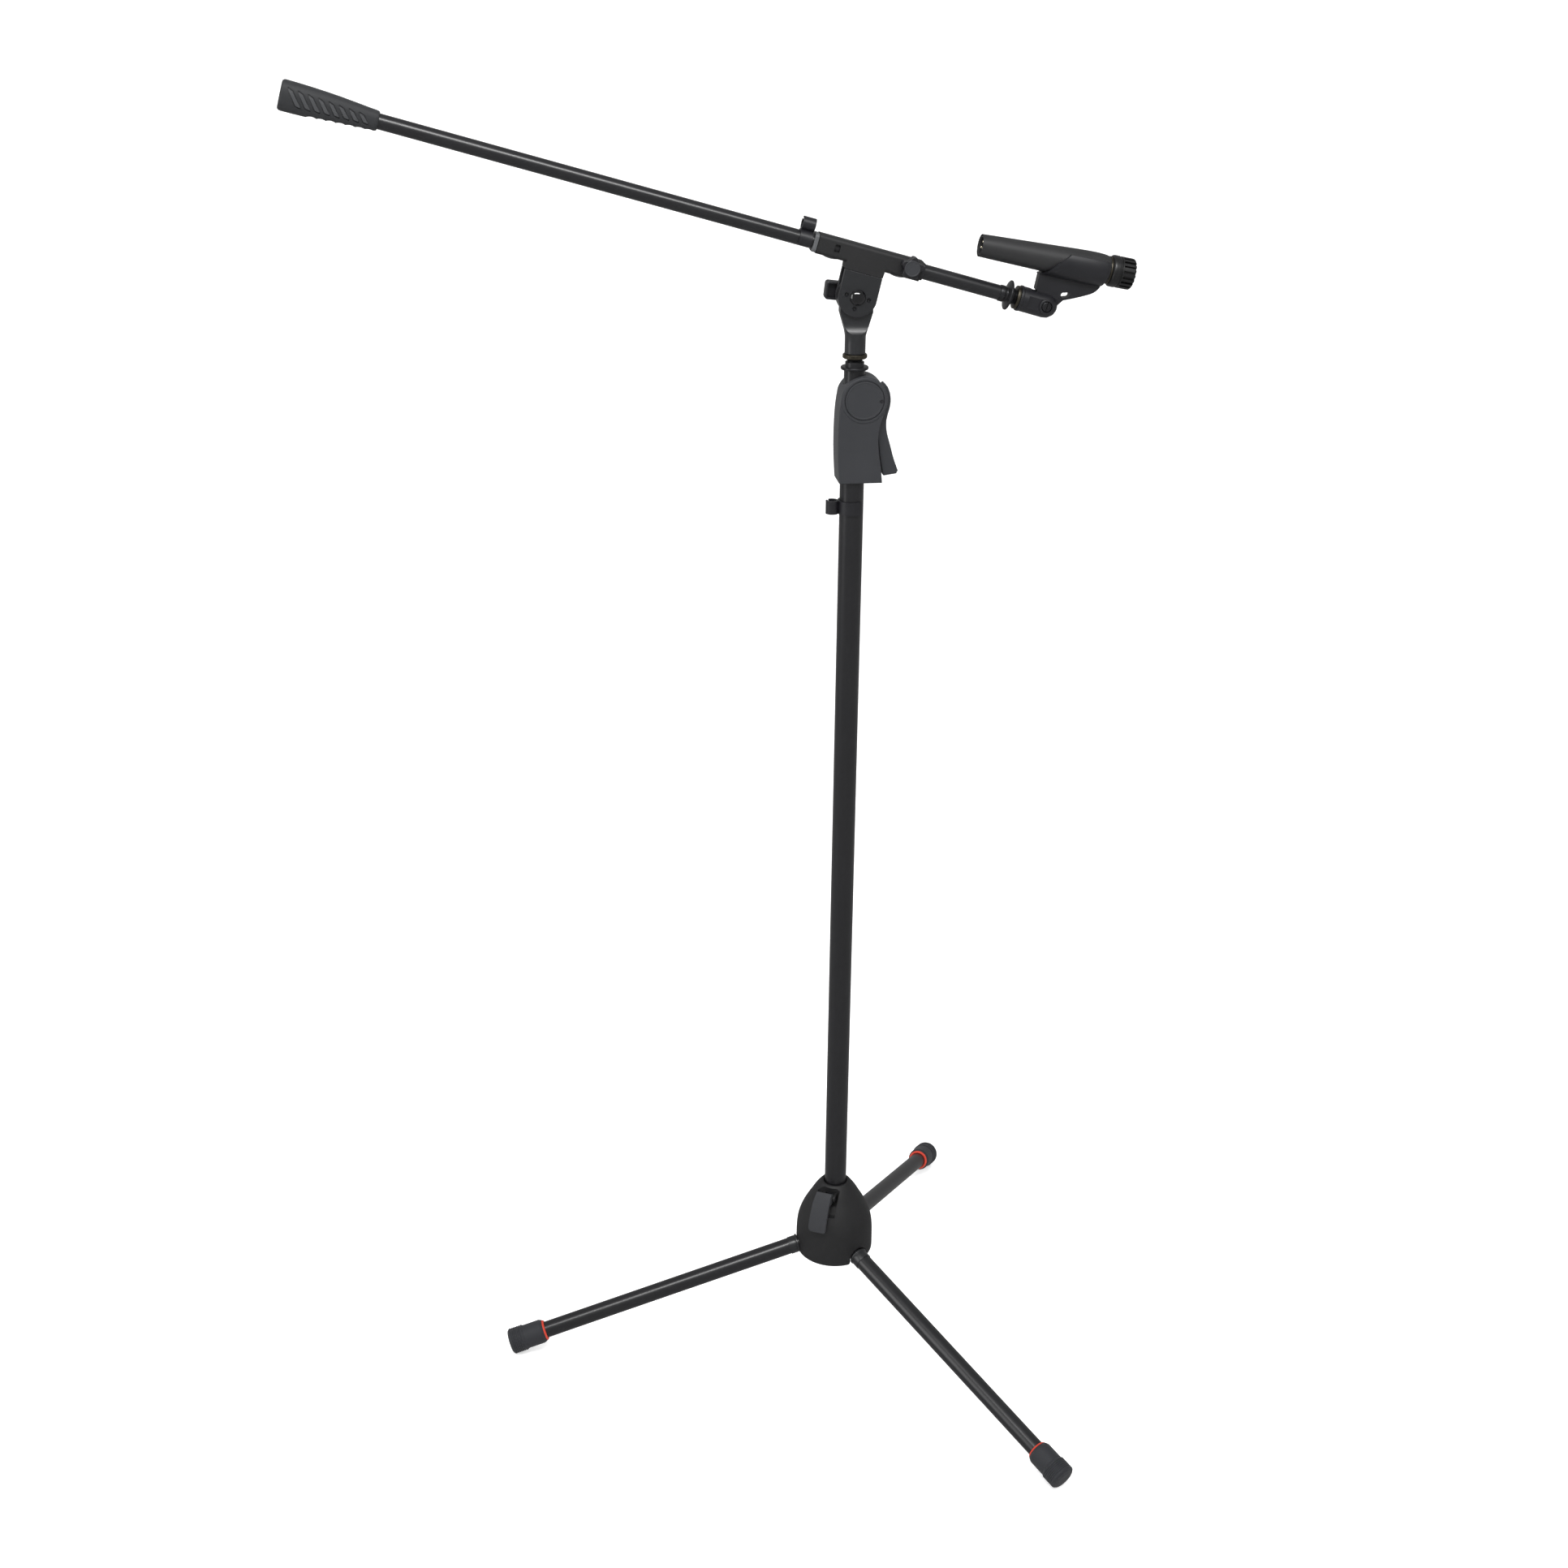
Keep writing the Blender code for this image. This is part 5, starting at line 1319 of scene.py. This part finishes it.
    def build_handle(self) -> None:
        """Clamp handle behind the holder: a boss and a bar with a hollow in its end."""
        face = self.holder_half + FIT
        bar: list[Corner] = [(-29, -9.2, 3), (12, -9, 3), (15, -6, 2), (15, 6, 2), (12, 9, 3), (-29, 9.2, 3)]
        handle = pushed("clamp_bar", soften(bar, True), face + 4, face + 16, Axis.Y)
        turn_edges(handle, 1.2, 3, 60)
        combine(handle, rod("boss", 9.0, face, face + 6, Axis.Y), Cut.JOIN)
        for low, high in ((face + 2, face + 8.4), (face + 11.6, face + 18)):
            hollow = [(a - 19.5, b) for a, b in rounded_box(7.2, 7.0, 1.8)]
            combine(handle, pushed("hollow", hollow, low, high, Axis.Y))
        combine(handle, rod("bore", self.bolt_radius + PIN_FIT, face - 2, face + 13.2, Axis.Y))
        turn_edges(handle, 0.3, 2, 60)
        place = TILTED @ turn_y(math.radians(-self.handle_turn))
        hand_over(handle, place, "clamp_handle", ["tee_handle"], SMOOTH_NYLON, 40, crisp=True)

    def build_knob(self) -> None:
        """Lobed knob with a plain round cover."""
        lobes: list[Corner] = []
        crest, root = self.knob_radii
        pitch = 360 // self.knob_lobes
        for lobe in range(self.knob_lobes):
            middle = pitch * lobe + 18
            for angle in (-11, 0, 11):
                lobes.append((*arc((0, 0), crest, middle + angle, middle + angle + 1, 2)[0], 2.0))
            valley = middle + pitch // 2
            lobes.append((*arc((0, 0), root, valley, valley + 1, 2)[0], 3.5))
        knob = pushed("lobed_knob", soften(lobes, True), -9.5, 0, Axis.Y)
        turn_edges(knob, 1.0, 3, 60)
        combine(knob, rod("knob_screw", 2.8, -2, 2.1, Axis.Y), Cut.JOIN)
        place = TILTED @ at_mm(self.knob_at[0], -self.holder_half - FIT, self.knob_at[1])
        hand_over(knob, place, "lock_knob", ["boom_lock_knob"], SMOOTH_NYLON, 40, crisp=True)
        line: list[Corner] = [(0, 9.7), (7.9, 9.7), (7.9, 11.3, 0.7), (6.9, 11.3, 0.3), (6.5, 10.9, 0.3), (0, 11.1)]
        cover = turned("knob_cover", soften(line), 72)
        hand_over(cover, place @ TO_FRONT, "lock_knob", ["boom_knob_cover"], SOFT_TOUCH)

    def build(self) -> None:
        """Everything on the boom's head."""
        self.build_yoke()
        self.build_cheeks()
        self.build_holder()
        self.build_ends()
        self.build_bolt()
        self.build_handle()
        self.build_knob()
        place = TILTED @ at_mm(-66.5, 0, BOOM_RISE) @ turn_y(-QUARTER)
        CableClip("boom_cable_band", "boom_cable_clip", "holder", 7.5, 15.0, 13.0, place, 62.0).build()


@dataclass
class Boom:
    """Boom tube with its rubber grip and its flanged thread."""

    radius: float = 7.5
    wall: float = 1.1
    ends: Pair = (-581.0, 140.0)
    grip_ends: Pair = (-583.5, -490.5)
    stations: tuple[tuple[float, float, float], ...] = (
        (0.0, 13.0, 9.8), (0.012, 14.1, 10.7), (0.03, 14.6, 11.0), (0.15, 14.5, 11.1), (0.3, 14.1, 11.1),
        (0.45, 13.5, 10.9), (0.6, 12.6, 10.5), (0.75, 11.4, 10.0), (0.9, 10.1, 9.5), (0.965, 9.7, 9.3),
        (0.99, 9.2, 9.0), (1.0, 8.2, 8.2),
    )  # fmt: skip
    ribs: int = 8
    rib_pitch: float = 9.7
    rib_width: float = 5.2
    rib_height: float = 0.5
    rib_groove: float = 0.8
    scallops: int = 7
    flange_at: float = 150.0
    flange_radius: float = 15.0
    thread_radius: float = 7.9
    thread_turns: int = 14

    def grip_body(self, name: str, swell: float) -> bpy.types.Object:
        """The grip's outer form, drawn at its rear end and pushed out station by station."""
        outer, inner = self.grip_ends
        span = inner - outer
        first = self.stations[0]
        line = [Axis.X.point(a, b, outer) for a, b in squircle(first[2] + swell, first[1] + swell, 2.6)]
        piece = start_line(name, line[0])
        draw_line(line)
        bpy.ops.mesh.select_all(action="SELECT")
        bpy.ops.mesh.edge_face_add()
        for before, here in zip(self.stations, self.stations[1:]):
            push(Vector(((here[0] - before[0]) * span, 0, 0)))
            scale = (1, (here[2] + swell) / (before[2] + swell), (here[1] + swell) / (before[1] + swell))
            bpy.ops.transform.resize(value=scale, center_override=(outer + here[0] * span, 0, 0))
        close_up()
        return piece

    def rib_outline(self, index: int, more: float) -> list[Pair]:
        """One slanted rib on the grip's side, lower and shorter towards the tube, grown by a margin."""
        share = index / (self.ribs - 1)
        start = self.grip_ends[0] + 6.0 + index * self.rib_pitch
        top = 8.6 - 4.4 * share
        bottom = -6.4 + 2.2 * share
        slant = (top - bottom) * 0.7
        width = self.rib_width
        corners = [
            (start - more, top + 2 * more), (start + width + more, top - 2.0 + more),
            (start + width + slant + more, bottom - 2 * more), (start + slant - more, bottom + 0.8 - more),
        ]  # fmt: skip
        return soften([(a, b, 0.6) for a, b in corners], closed=True)

    def build_grip(self) -> None:
        """Rubber grip with slanted ribs on both sides and finger waves under it."""
        outer, inner = self.grip_ends
        grip = self.grip_body("rubber_grip", 0.0)
        for index in range(self.scallops):
            middle = inner - 6 - index * 9.0
            share = (middle - outer) / (inner - outer)
            depth = 0.75 if index < 5 else 0.4
            floor = -(13.6 - 4.3 * share)
            wave = rod("wave", 9.0, -20, 20, Axis.Y, (middle, floor - 9.0 + depth))
            combine(grip, wave)
        raised = self.grip_body("raised", self.rib_height)
        sunk = self.grip_body("sunk", -self.rib_groove)
        deep = self.grip_body("deep", -self.rib_groove - 0.2)
        pads: list[bpy.types.Object] = []
        for index in range(self.ribs):
            pocket = pushed("pocket", self.rib_outline(index, 0.75), -20, 20, Axis.Y)
            combine(pocket, copied(sunk, "sunk_copy"))
            combine(grip, pocket)
            pad = pushed("grip_rib_pads", self.rib_outline(index, 0.0), -20, 20, Axis.Y)
            combine(pad, copied(raised, "raised_copy"), Cut.SHARED)
            combine(pad, copied(deep, "deep_copy"))
            pads.append(pad)
        for former in (raised, sunk, deep):
            bpy.data.objects.remove(former, do_unlink=True)
        activate(pads[0])
        for pad in pads:
            pad.select_set(True)
        bpy.ops.object.join()
        hand_over(pads[0], BOOM_LINE, "boom", [], PAD_RUBBER, 34)
        bore = drill(self.radius + FIT, outer + 2.2, inner + 5)
        combine(grip, moved(bore, turn_y(QUARTER)))
        hand_over(grip, BOOM_LINE, "boom", ["boom_grip"], GRIP_RUBBER, 34, crisp=True)

    def build_tip(self) -> None:
        """Turned end: collar, wide flange and thread."""
        core = self.radius - self.wall - FIT
        end = self.ends[1] + FIT
        flange = self.flange_at
        radius = self.flange_radius
        line: list[Corner] = [
            (0, end - 22), (core, end - 22, 0.5), (core, end), (8.2, end, 0.3), (8.3, end + 4.5, 0.3),
            (7.6, end + 5.2, 0.2), (7.6, flange - 2.4, 0.5), (radius - 0.9, flange - 1.2, 0.4),
            (radius, flange - 0.6, 0.4), (radius, flange + 0.6, 0.4), (radius - 0.9, flange + 1.2, 0.4),
            (9.6, flange + 1.2, 0.3), (9.6, flange + 3.4, 0.3), (7.4, flange + 3.8),
        ]  # fmt: skip
        line += thread(self.thread_radius, flange + 4.2, self.thread_turns)
        line += [(7.2, flange + 18, 0.3), (0, flange + 18)]
        tip = turned("boom_flange_and_thread", soften(line, steps=3), 96)
        hand_over(tip, ALONG_BOOM, "boom", ["boom_tip"], BLACK_OXIDE, 28)

    def build(self) -> None:
        """Tube, grip and tip."""
        low, high = self.ends
        tube = pipe("boom_steel_tube", self.radius, self.wall, low, high)
        hand_over(tube, ALONG_BOOM, "boom", ["boom_tube"], POWDER_COAT)
        self.build_grip()
        self.build_tip()


@dataclass
class MicClip:
    """Microphone clip: brass insert, slotted base with its screw, and the cradle."""

    mouth: float = 160.6
    pivot: float = 189.0
    radius: float = 13.0
    slot_half: float = 5.2
    screw_radius: float = 3.0
    mic_back: float = 78.4
    mic_rise: float = 46.0
    cradle_ends: Pair = (64.0, 131.5)
    cradle_wall: float = 2.6

    def build_insert(self) -> None:
        """Threaded brass insert that shows as a ring."""
        mouth = self.mouth
        line: list[Corner] = [
            (8.2, mouth - 3.4), (11.8, mouth - 3.4, 0.6), (11.8, mouth - 0.3, 0.3), (9.8, mouth - 0.3),
            (9.8, mouth + 9), (8.2, mouth + 9),
        ]  # fmt: skip
        insert = turned("brass_insert", soften(line, True), 96, True)
        hand_over(insert, ALONG_BOOM, "boom", ["clip_insert"], AGED_BRASS, 35)

    def build_base(self) -> None:
        """Round base, slotted for the cradle's web, with a boss round the screw and a flat beside it."""
        mouth, pivot = self.mouth, self.pivot
        end = pivot + 13
        line: list[Corner] = [
            (0, mouth + 9.6), (10.1, mouth + 9.6), (10.1, mouth), (self.radius, mouth, 0.8),
            (self.radius, mouth + 2.6, 0.4), (self.radius - 0.5, mouth + 3.2, 0.4), (self.radius - 0.3, pivot + 1),
            (self.radius - 1.2, pivot + 6, 5), (self.radius - 4.2, pivot + 10.5, 5), (self.radius - 8, end - 0.2, 4),
            (0, end),
        ]  # fmt: skip
        base = turned("clip_round_base", soften(line, steps=6), 96)
        moved(base, turn_y(QUARTER))
        flat = [(a + pivot - 12.4, b) for a, b in rounded_box(7.6, 7.6, 1.8)]
        combine(base, pushed("flat", flat, -20, -self.radius + 1.9, Axis.Y))
        boss = turned("boss", soften([(0, 5), (7.6, 5), (7.6, 13.1, 0.8), (0, 13.1)]), 72)
        facing = at_mm(pivot, 0, 0) @ TO_FRONT
        combine(base, moved(boss, facing), Cut.JOIN)
        slot = [(pivot - 18, -10.5), (end + 5, -10.5), (end + 5, 20), (pivot - 18, 20)]
        combine(base, pushed("slot", slot, -self.slot_half, self.slot_half, Axis.Y))
        combine(base, rod("screw_hole", self.screw_radius + PIN_FIT, -16, 16, Axis.Y, (pivot, 0)))
        combine(base, rod("seat", 5.7, -18, -self.radius + 3, Axis.Y, (pivot, 0)))
        turn_edges(base, 0.35, 2, 50)
        hand_over(base, BOOM_LINE, "boom", ["clip_base"], SMOOTH_NYLON, 38, crisp=True)

    def build_screw(self) -> None:
        """Slotted screw that the cradle tilts on."""
        face = self.radius - 2.7
        line: list[Corner] = [
            (0, face + 2.7), (4.4, face + 2.5, 0.8), (5.2, face + 1.6, 0.5), (5.2, face), (self.screw_radius, face),
            (self.screw_radius, 1 - self.radius), (0, 1 - self.radius),
        ]  # fmt: skip
        screw = turned("clip_pivot_screw", soften(line), 72)
        slot = [(-0.55, -8), (0.55, -8), (0.55, 8), (-0.55, 8)]
        combine(screw, pushed("slot", slot, face + 1.5, face + 4, Axis.Z))
        place = TILTED @ at_mm(self.pivot, 0, BOOM_RISE) @ TO_FRONT
        hand_over(screw, place, "boom", ["clip_screw"], BLACK_OXIDE, 35)

    def axis(self) -> Matrix:
        """Axes at the cradle's hinge, with X along the microphone."""
        return TILTED @ at_mm(self.pivot, 0, BOOM_RISE) @ turn_y(MIC_TILT - BOOM_TILT)

    def build_cradle(self, mic: "Microphone") -> None:
        """Sleeve that wraps the handle, open along its top, on a web with lobes and an oval hole."""
        near, far = self.cradle_ends
        back, rise, wall = self.mic_back, self.mic_rise, self.cradle_wall
        grip = 0.4  # gap round the handle
        inside = [(mic.radius_at(s) + grip, s) for s in (near, 80, 100, 110, 118)]
        inside.append((mic.radius_at(118) + grip, far))
        outside = flow([(mic.radius_at(s) + grip + wall, s) for s in (near, 80, 100, 118, far - 1.0)], 3)
        solid = [(0, near), *outside, (outside[-1][0] - 0.8, far), (0, far)]
        lying = at_mm(-back, 0, rise) @ turn_y(QUARTER)
        cradle = moved(turned("cradle_sleeve", solid, 96), lying)
        web = arc((0, 0), 8.6, 200, 330, 20) + [(12, 2)]
        web += flow([(17, 8.5), (26.2, 12), (37, 16.6), (45.8, 21.2), (50.5, 26.5), (52, 31)], 3)
        web += [(52, 38), (-13.4, 38), (-13.4, 14.4), (-9.6, 11)]
        plate = pushed("web", web, FIT - self.slot_half, self.slot_half - FIT, Axis.Y)
        combine(cradle, plate, Cut.JOIN)
        flare_line = [(-13.4, 14.6), (-8, 15.5), (6, 21), (30, 24), (48, 28), (52.8, 33), (52.8, 40), (-13.4, 40)]
        flare = pushed("flare", flare_line, -12.5, 12.5, Axis.Y)
        combine(flare, moved(turned("flare_shape", solid, 96), lying), Cut.SHARED)
        combine(cradle, flare, Cut.JOIN)
        hollow = [(0, near - 4), (inside[0][0], near - 4), *inside, (inside[-1][0], far + 4), (0, far + 4)]
        combine(cradle, moved(turned("hollow", hollow, 96), lying))
        slant = [(near - 30, -2), (near - 1, -16), (near + 14, -2), (near + 29, 13), (near + 33, 30), (near - 30, 30)]
        mouth = pushed("mouth", flow(slant[:5], 5) + [slant[5]], -40, 40, Axis.Y)
        combine(cradle, moved(mouth, at_mm(-back, 0, rise)))
        top = pushed("top", [(near - 5, 9.42), (far + 5, 9.42), (far + 5, 40), (near - 5, 40)], -30, 30, Axis.Y)
        combine(cradle, moved(top, at_mm(-back, 0, rise)))
        window = arc((16, 13.6), 2.6, 90, 270, 16) + arc((20, 14.6), 2.6, -90, 90, 16)
        combine(cradle, pushed("window", window, -40, 40, Axis.Y))
        combine(cradle, rod("eye", self.screw_radius + PIN_FIT, -15, 15, Axis.Y))
        turn_edges(cradle, 0.4, 2, 52)
        hand_over(cradle, self.axis(), "cradle", ["clip_cradle"], SMOOTH_NYLON, 38, crisp=True)

    def build(self, mic: "Microphone") -> None:
        """Everything between the boom and the microphone."""
        self.build_insert()
        self.build_base()
        self.build_screw()
        self.build_cradle(mic)


@dataclass
class Microphone:
    """Handheld microphone: tapered handle, plug socket, tinted ring, collar and slotted head."""

    length: float = 160.6
    head_radius: float = 15.9
    socket_radius: float = 8.4
    socket_depth: float = 16.0
    contact_circle: float = 4.0
    slots: int = 18
    taper: tuple[Pair, ...] = (
        (0, 9.6), (1.6, 10.9), (4.5, 11.4), (60, 13.4), (100, 14.9), (118, 15.2), (128, 14.7), (134, 13.6),
    )  # fmt: skip

    def radius_at(self, station: float) -> float:
        """Outer radius at a distance from the rear end."""
        for (low, small), (high, large) in zip(self.taper, self.taper[1:]):
            if station <= high:
                return small + (large - small) * (station - low) / (high - low)
        return self.taper[-1][1]

    def build_handle(self, place: Matrix) -> None:
        """Cast handle with a rounded rear edge round the socket."""
        outside = flow([(r, s) for s, r in self.taper], 5)
        depth, bore = self.socket_depth, self.socket_radius
        line = [(0, depth), (bore, depth), (bore, 0.5), (bore + 0.5, 0), *outside, (12.0, 134.0), (0, 134.0)]
        handle = turned("microphone_handle", line, 96)
        hand_over(handle, place, "mic", ["mic_body"], MATT_LACQUER, 35)

    def build_socket(self, place: Matrix) -> None:
        """Socket insulator and its three contacts."""
        base = self.socket_depth - 0.3
        line: list[Corner] = [(0, 11), (8.1, 11), (8.1, base), (0, base)]
        disc = turned("socket_insulator", soften(line), 64)
        key = pushed("key", rounded_box(1.0, 1.2, 0.4), 3.5, 12, Axis.Z)
        combine(disc, moved(key, at_mm(7.0, 0, 0)), Cut.JOIN)
        hand_over(disc, place, "mic", ["mic_connector"], HEAD_PLASTIC, 35)
        pin_line: list[Corner] = [(0, 1.0), (1.25, 1.0, 0.8), (1.25, 12.5), (0, 12.5)]
        for index, angle in enumerate((90, 210, 330), 1):
            pin = turned(f"socket_contact_{index}", soften(pin_line), 24)
            # The rear end looks back along the handle, where up is -X on these axes.
            across, up = arc((0, 0), self.contact_circle, angle, angle + 1, 2)[0]
            hand_over(pin, place @ at_mm(-up, across, 0), "mic", [], GOLD_PLATE, 35)

    def build_head(self, place: Matrix) -> None:
        """Tinted ring, collar and the slotted head with a toothed front edge."""
        ring_low = 134.3
        ring_line: list[Corner] = [(0, ring_low), (13.9, ring_low, 0.4), (13.9, 136.2, 0.4), (0, 136.2)]
        ring = turned("tinted_ring", soften(ring_line), 96)
        hand_over(ring, place, "mic", ["mic_ring"], AGED_BRASS, 35)
        radius = self.head_radius
        collar_line: list[Corner] = [
            (0, 136.5), (14.4, 136.5, 0.5), (radius - 0.2, 137.8, 0.8), (radius, 139.2, 0.4),
            (radius, 143.6, 0.3), (radius - 0.6, 144.4, 0.2), (radius - 0.6, 145.6), (0, 145.6),
        ]  # fmt: skip
        collar = turned("head_collar", soften(collar_line), 96)
        hand_over(collar, place, "mic", ["mic_collar"], HEAD_PLASTIC, 35)
        start, end = 145.9, self.length
        core: list[Corner] = [
            (0, start), (radius - 0.2, start), (radius - 0.3, end - 1.2, 1.0), (radius - 1.6, end, 0.8),
            (radius - 3.2, end, 0.5), (radius - 3.8, end - 3.0, 0.4), (0, end - 3.4),
        ]  # fmt: skip
        head = turned("slotted_head", soften(core), 108)
        for index in range(self.slots):
            line = [(radius - 2.9, -1.2), (radius + 3, -1.6), (radius + 3, 1.6), (radius - 2.9, 1.2)]
            slot = pushed("slot", line, start + 1.4, end + 2, Axis.Z)
            combine(head, moved(slot, turn_z(math.tau * index / self.slots)))
        turn_edges(head, 0.2, 2, 50)
        hand_over(head, place, "mic", ["mic_grille"], HEAD_PLASTIC, 36, crisp=True)

    def build(self, clip: MicClip) -> None:
        """The microphone, lying in its clip."""
        place = clip.axis() @ at_mm(-clip.mic_back, 0, clip.mic_rise) @ turn_y(QUARTER)
        self.build_handle(place)
        self.build_socket(place)
        self.build_head(place)


# ---------------------------------------------------------------- studio


@dataclass
class Lamp:
    """A soft rectangular lamp; one that shows only the floor is kept out of glossy surfaces."""

    name: str
    at: tuple[float, float, float]
    target: tuple[float, float, float]
    size: Pair
    power: float
    shows_in_gloss: bool = True

    def build(self) -> None:
        """Hang the lamp and point it."""
        clear_selection()
        bpy.ops.object.light_add(type="AREA", location=self.at)
        lamp = bpy.context.object
        lamp.name = self.name
        lamp.data.shape = "RECTANGLE"
        lamp.data.size, lamp.data.size_y = self.size
        lamp.data.energy = self.power
        lamp.visible_glossy = self.shows_in_gloss
        aim = Vector(self.target) - Vector(self.at)
        lamp.rotation_euler = aim.to_track_quat("-Z", "Y").to_euler()


@dataclass
class Studio:
    """Plain pale floor, soft light and the camera."""

    camera_at: tuple[float, float, float] = (-0.390, -2.2575, 1.558)
    camera_aim: tuple[float, float, float] = (0.1307, 0.9129, -0.3867)
    camera_roll_deg: float = 0.72
    lens_mm: float = 52.32
    sensor_mm: float = 36.0
    wall_at: float = 5.4
    sweep: float = 1.8
    wall_top: float = 6.0
    world_strength: float = 0.34
    lamps: tuple[Lamp, ...] = (
        Lamp("key", (-0.4, -1.7, 3.1), (-0.1, 0.0, 0.9), (2.8, 0.55), 100.0),
        Lamp("side", (-2.9, -0.8, 1.3), (0.0, 0.0, 0.7), (0.7, 2.2), 20.0),
        Lamp("floor_wash", (0.0, 0.6, 3.6), (0.0, 0.9, -0.1), (3.0, 2.0), 30.0, False),
    )

    def build_floor(self, height: float) -> None:
        """A round floor whose rim sweeps up into a wall, far larger than the object."""
        bend = arc((self.wall_at - self.sweep, height + self.sweep), self.sweep, -90, 0, 24)
        floor = turned("studio_floor", [(0, height), *bend, (self.wall_at, self.wall_top)], 128)
        bpy.ops.object.shade_smooth_by_angle(angle=math.radians(30))
        paper = Finish(
            name="matt studio paper",
            slot="",
            colour="#dadada",
            drift_colour="#d6d6d6",
            roughness=0.9,
            drift_mm=900.0,
            grain_mm=6.0,
            grain_height_mm=0.02,
            specular=0.1,
            glow=0.5,
        )
        floor.data.materials.append(paper.material())
        # Gloss shows the lamps and the dim room, so that black parts stay black over pale paper.
        floor.visible_glossy = False

    def build_world(self) -> None:
        """Dim, even surroundings."""
        world = bpy.data.worlds.new("studio")
        world.use_nodes = True
        background = world.node_tree.nodes["Background"]
        background.inputs["Color"].default_value = (1.0, 1.0, 1.0, 1.0)
        background.inputs["Strength"].default_value = self.world_strength
        bpy.context.scene.world = world
        bpy.context.scene.view_settings.view_transform = "Standard"

    def build_camera(self) -> None:
        """The camera, with its small roll."""
        aim = Vector(self.camera_aim).normalized()
        right = aim.cross(Vector((0, 0, 1))).normalized()
        up = right.cross(aim)
        roll = math.radians(self.camera_roll_deg)
        across = right * math.cos(roll) + up * math.sin(roll)
        above = up * math.cos(roll) - right * math.sin(roll)
        data = bpy.data.cameras.new("camera")
        data.lens = self.lens_mm
        data.sensor_width = self.sensor_mm
        data.clip_start, data.clip_end = 0.05, 100.0
        camera = bpy.data.objects.new("camera", data)
        bpy.context.scene.collection.objects.link(camera)
        rows = Matrix((across, above, -aim)).transposed()
        camera.matrix_world = Matrix.Translation(Vector(self.camera_at)) @ rows.to_4x4()
        bpy.context.scene.camera = camera

    def build(self, floor_z: float) -> None:
        """Camera, floor, surroundings and lamps."""
        self.build_camera()
        self.build_floor(floor_z)
        self.build_world()
        for lamp in self.lamps:
            lamp.build()


def main() -> None:
    """Build the studio and every sub-assembly."""
    logging.basicConfig(level=logging.INFO, format="%(name)s: %(message)s")
    Studio().build(CAD_BOX[0].z)
    TripodHub().build()
    Legs().build()
    Column().build()
    Clutch().build()
    Mast().build()
    BoomHead().build()
    Boom().build()
    clip, mic = MicClip(), Microphone()
    clip.build(mic)
    mic.build(clip)
    clear_selection()


if __name__ == "__main__":
    main()
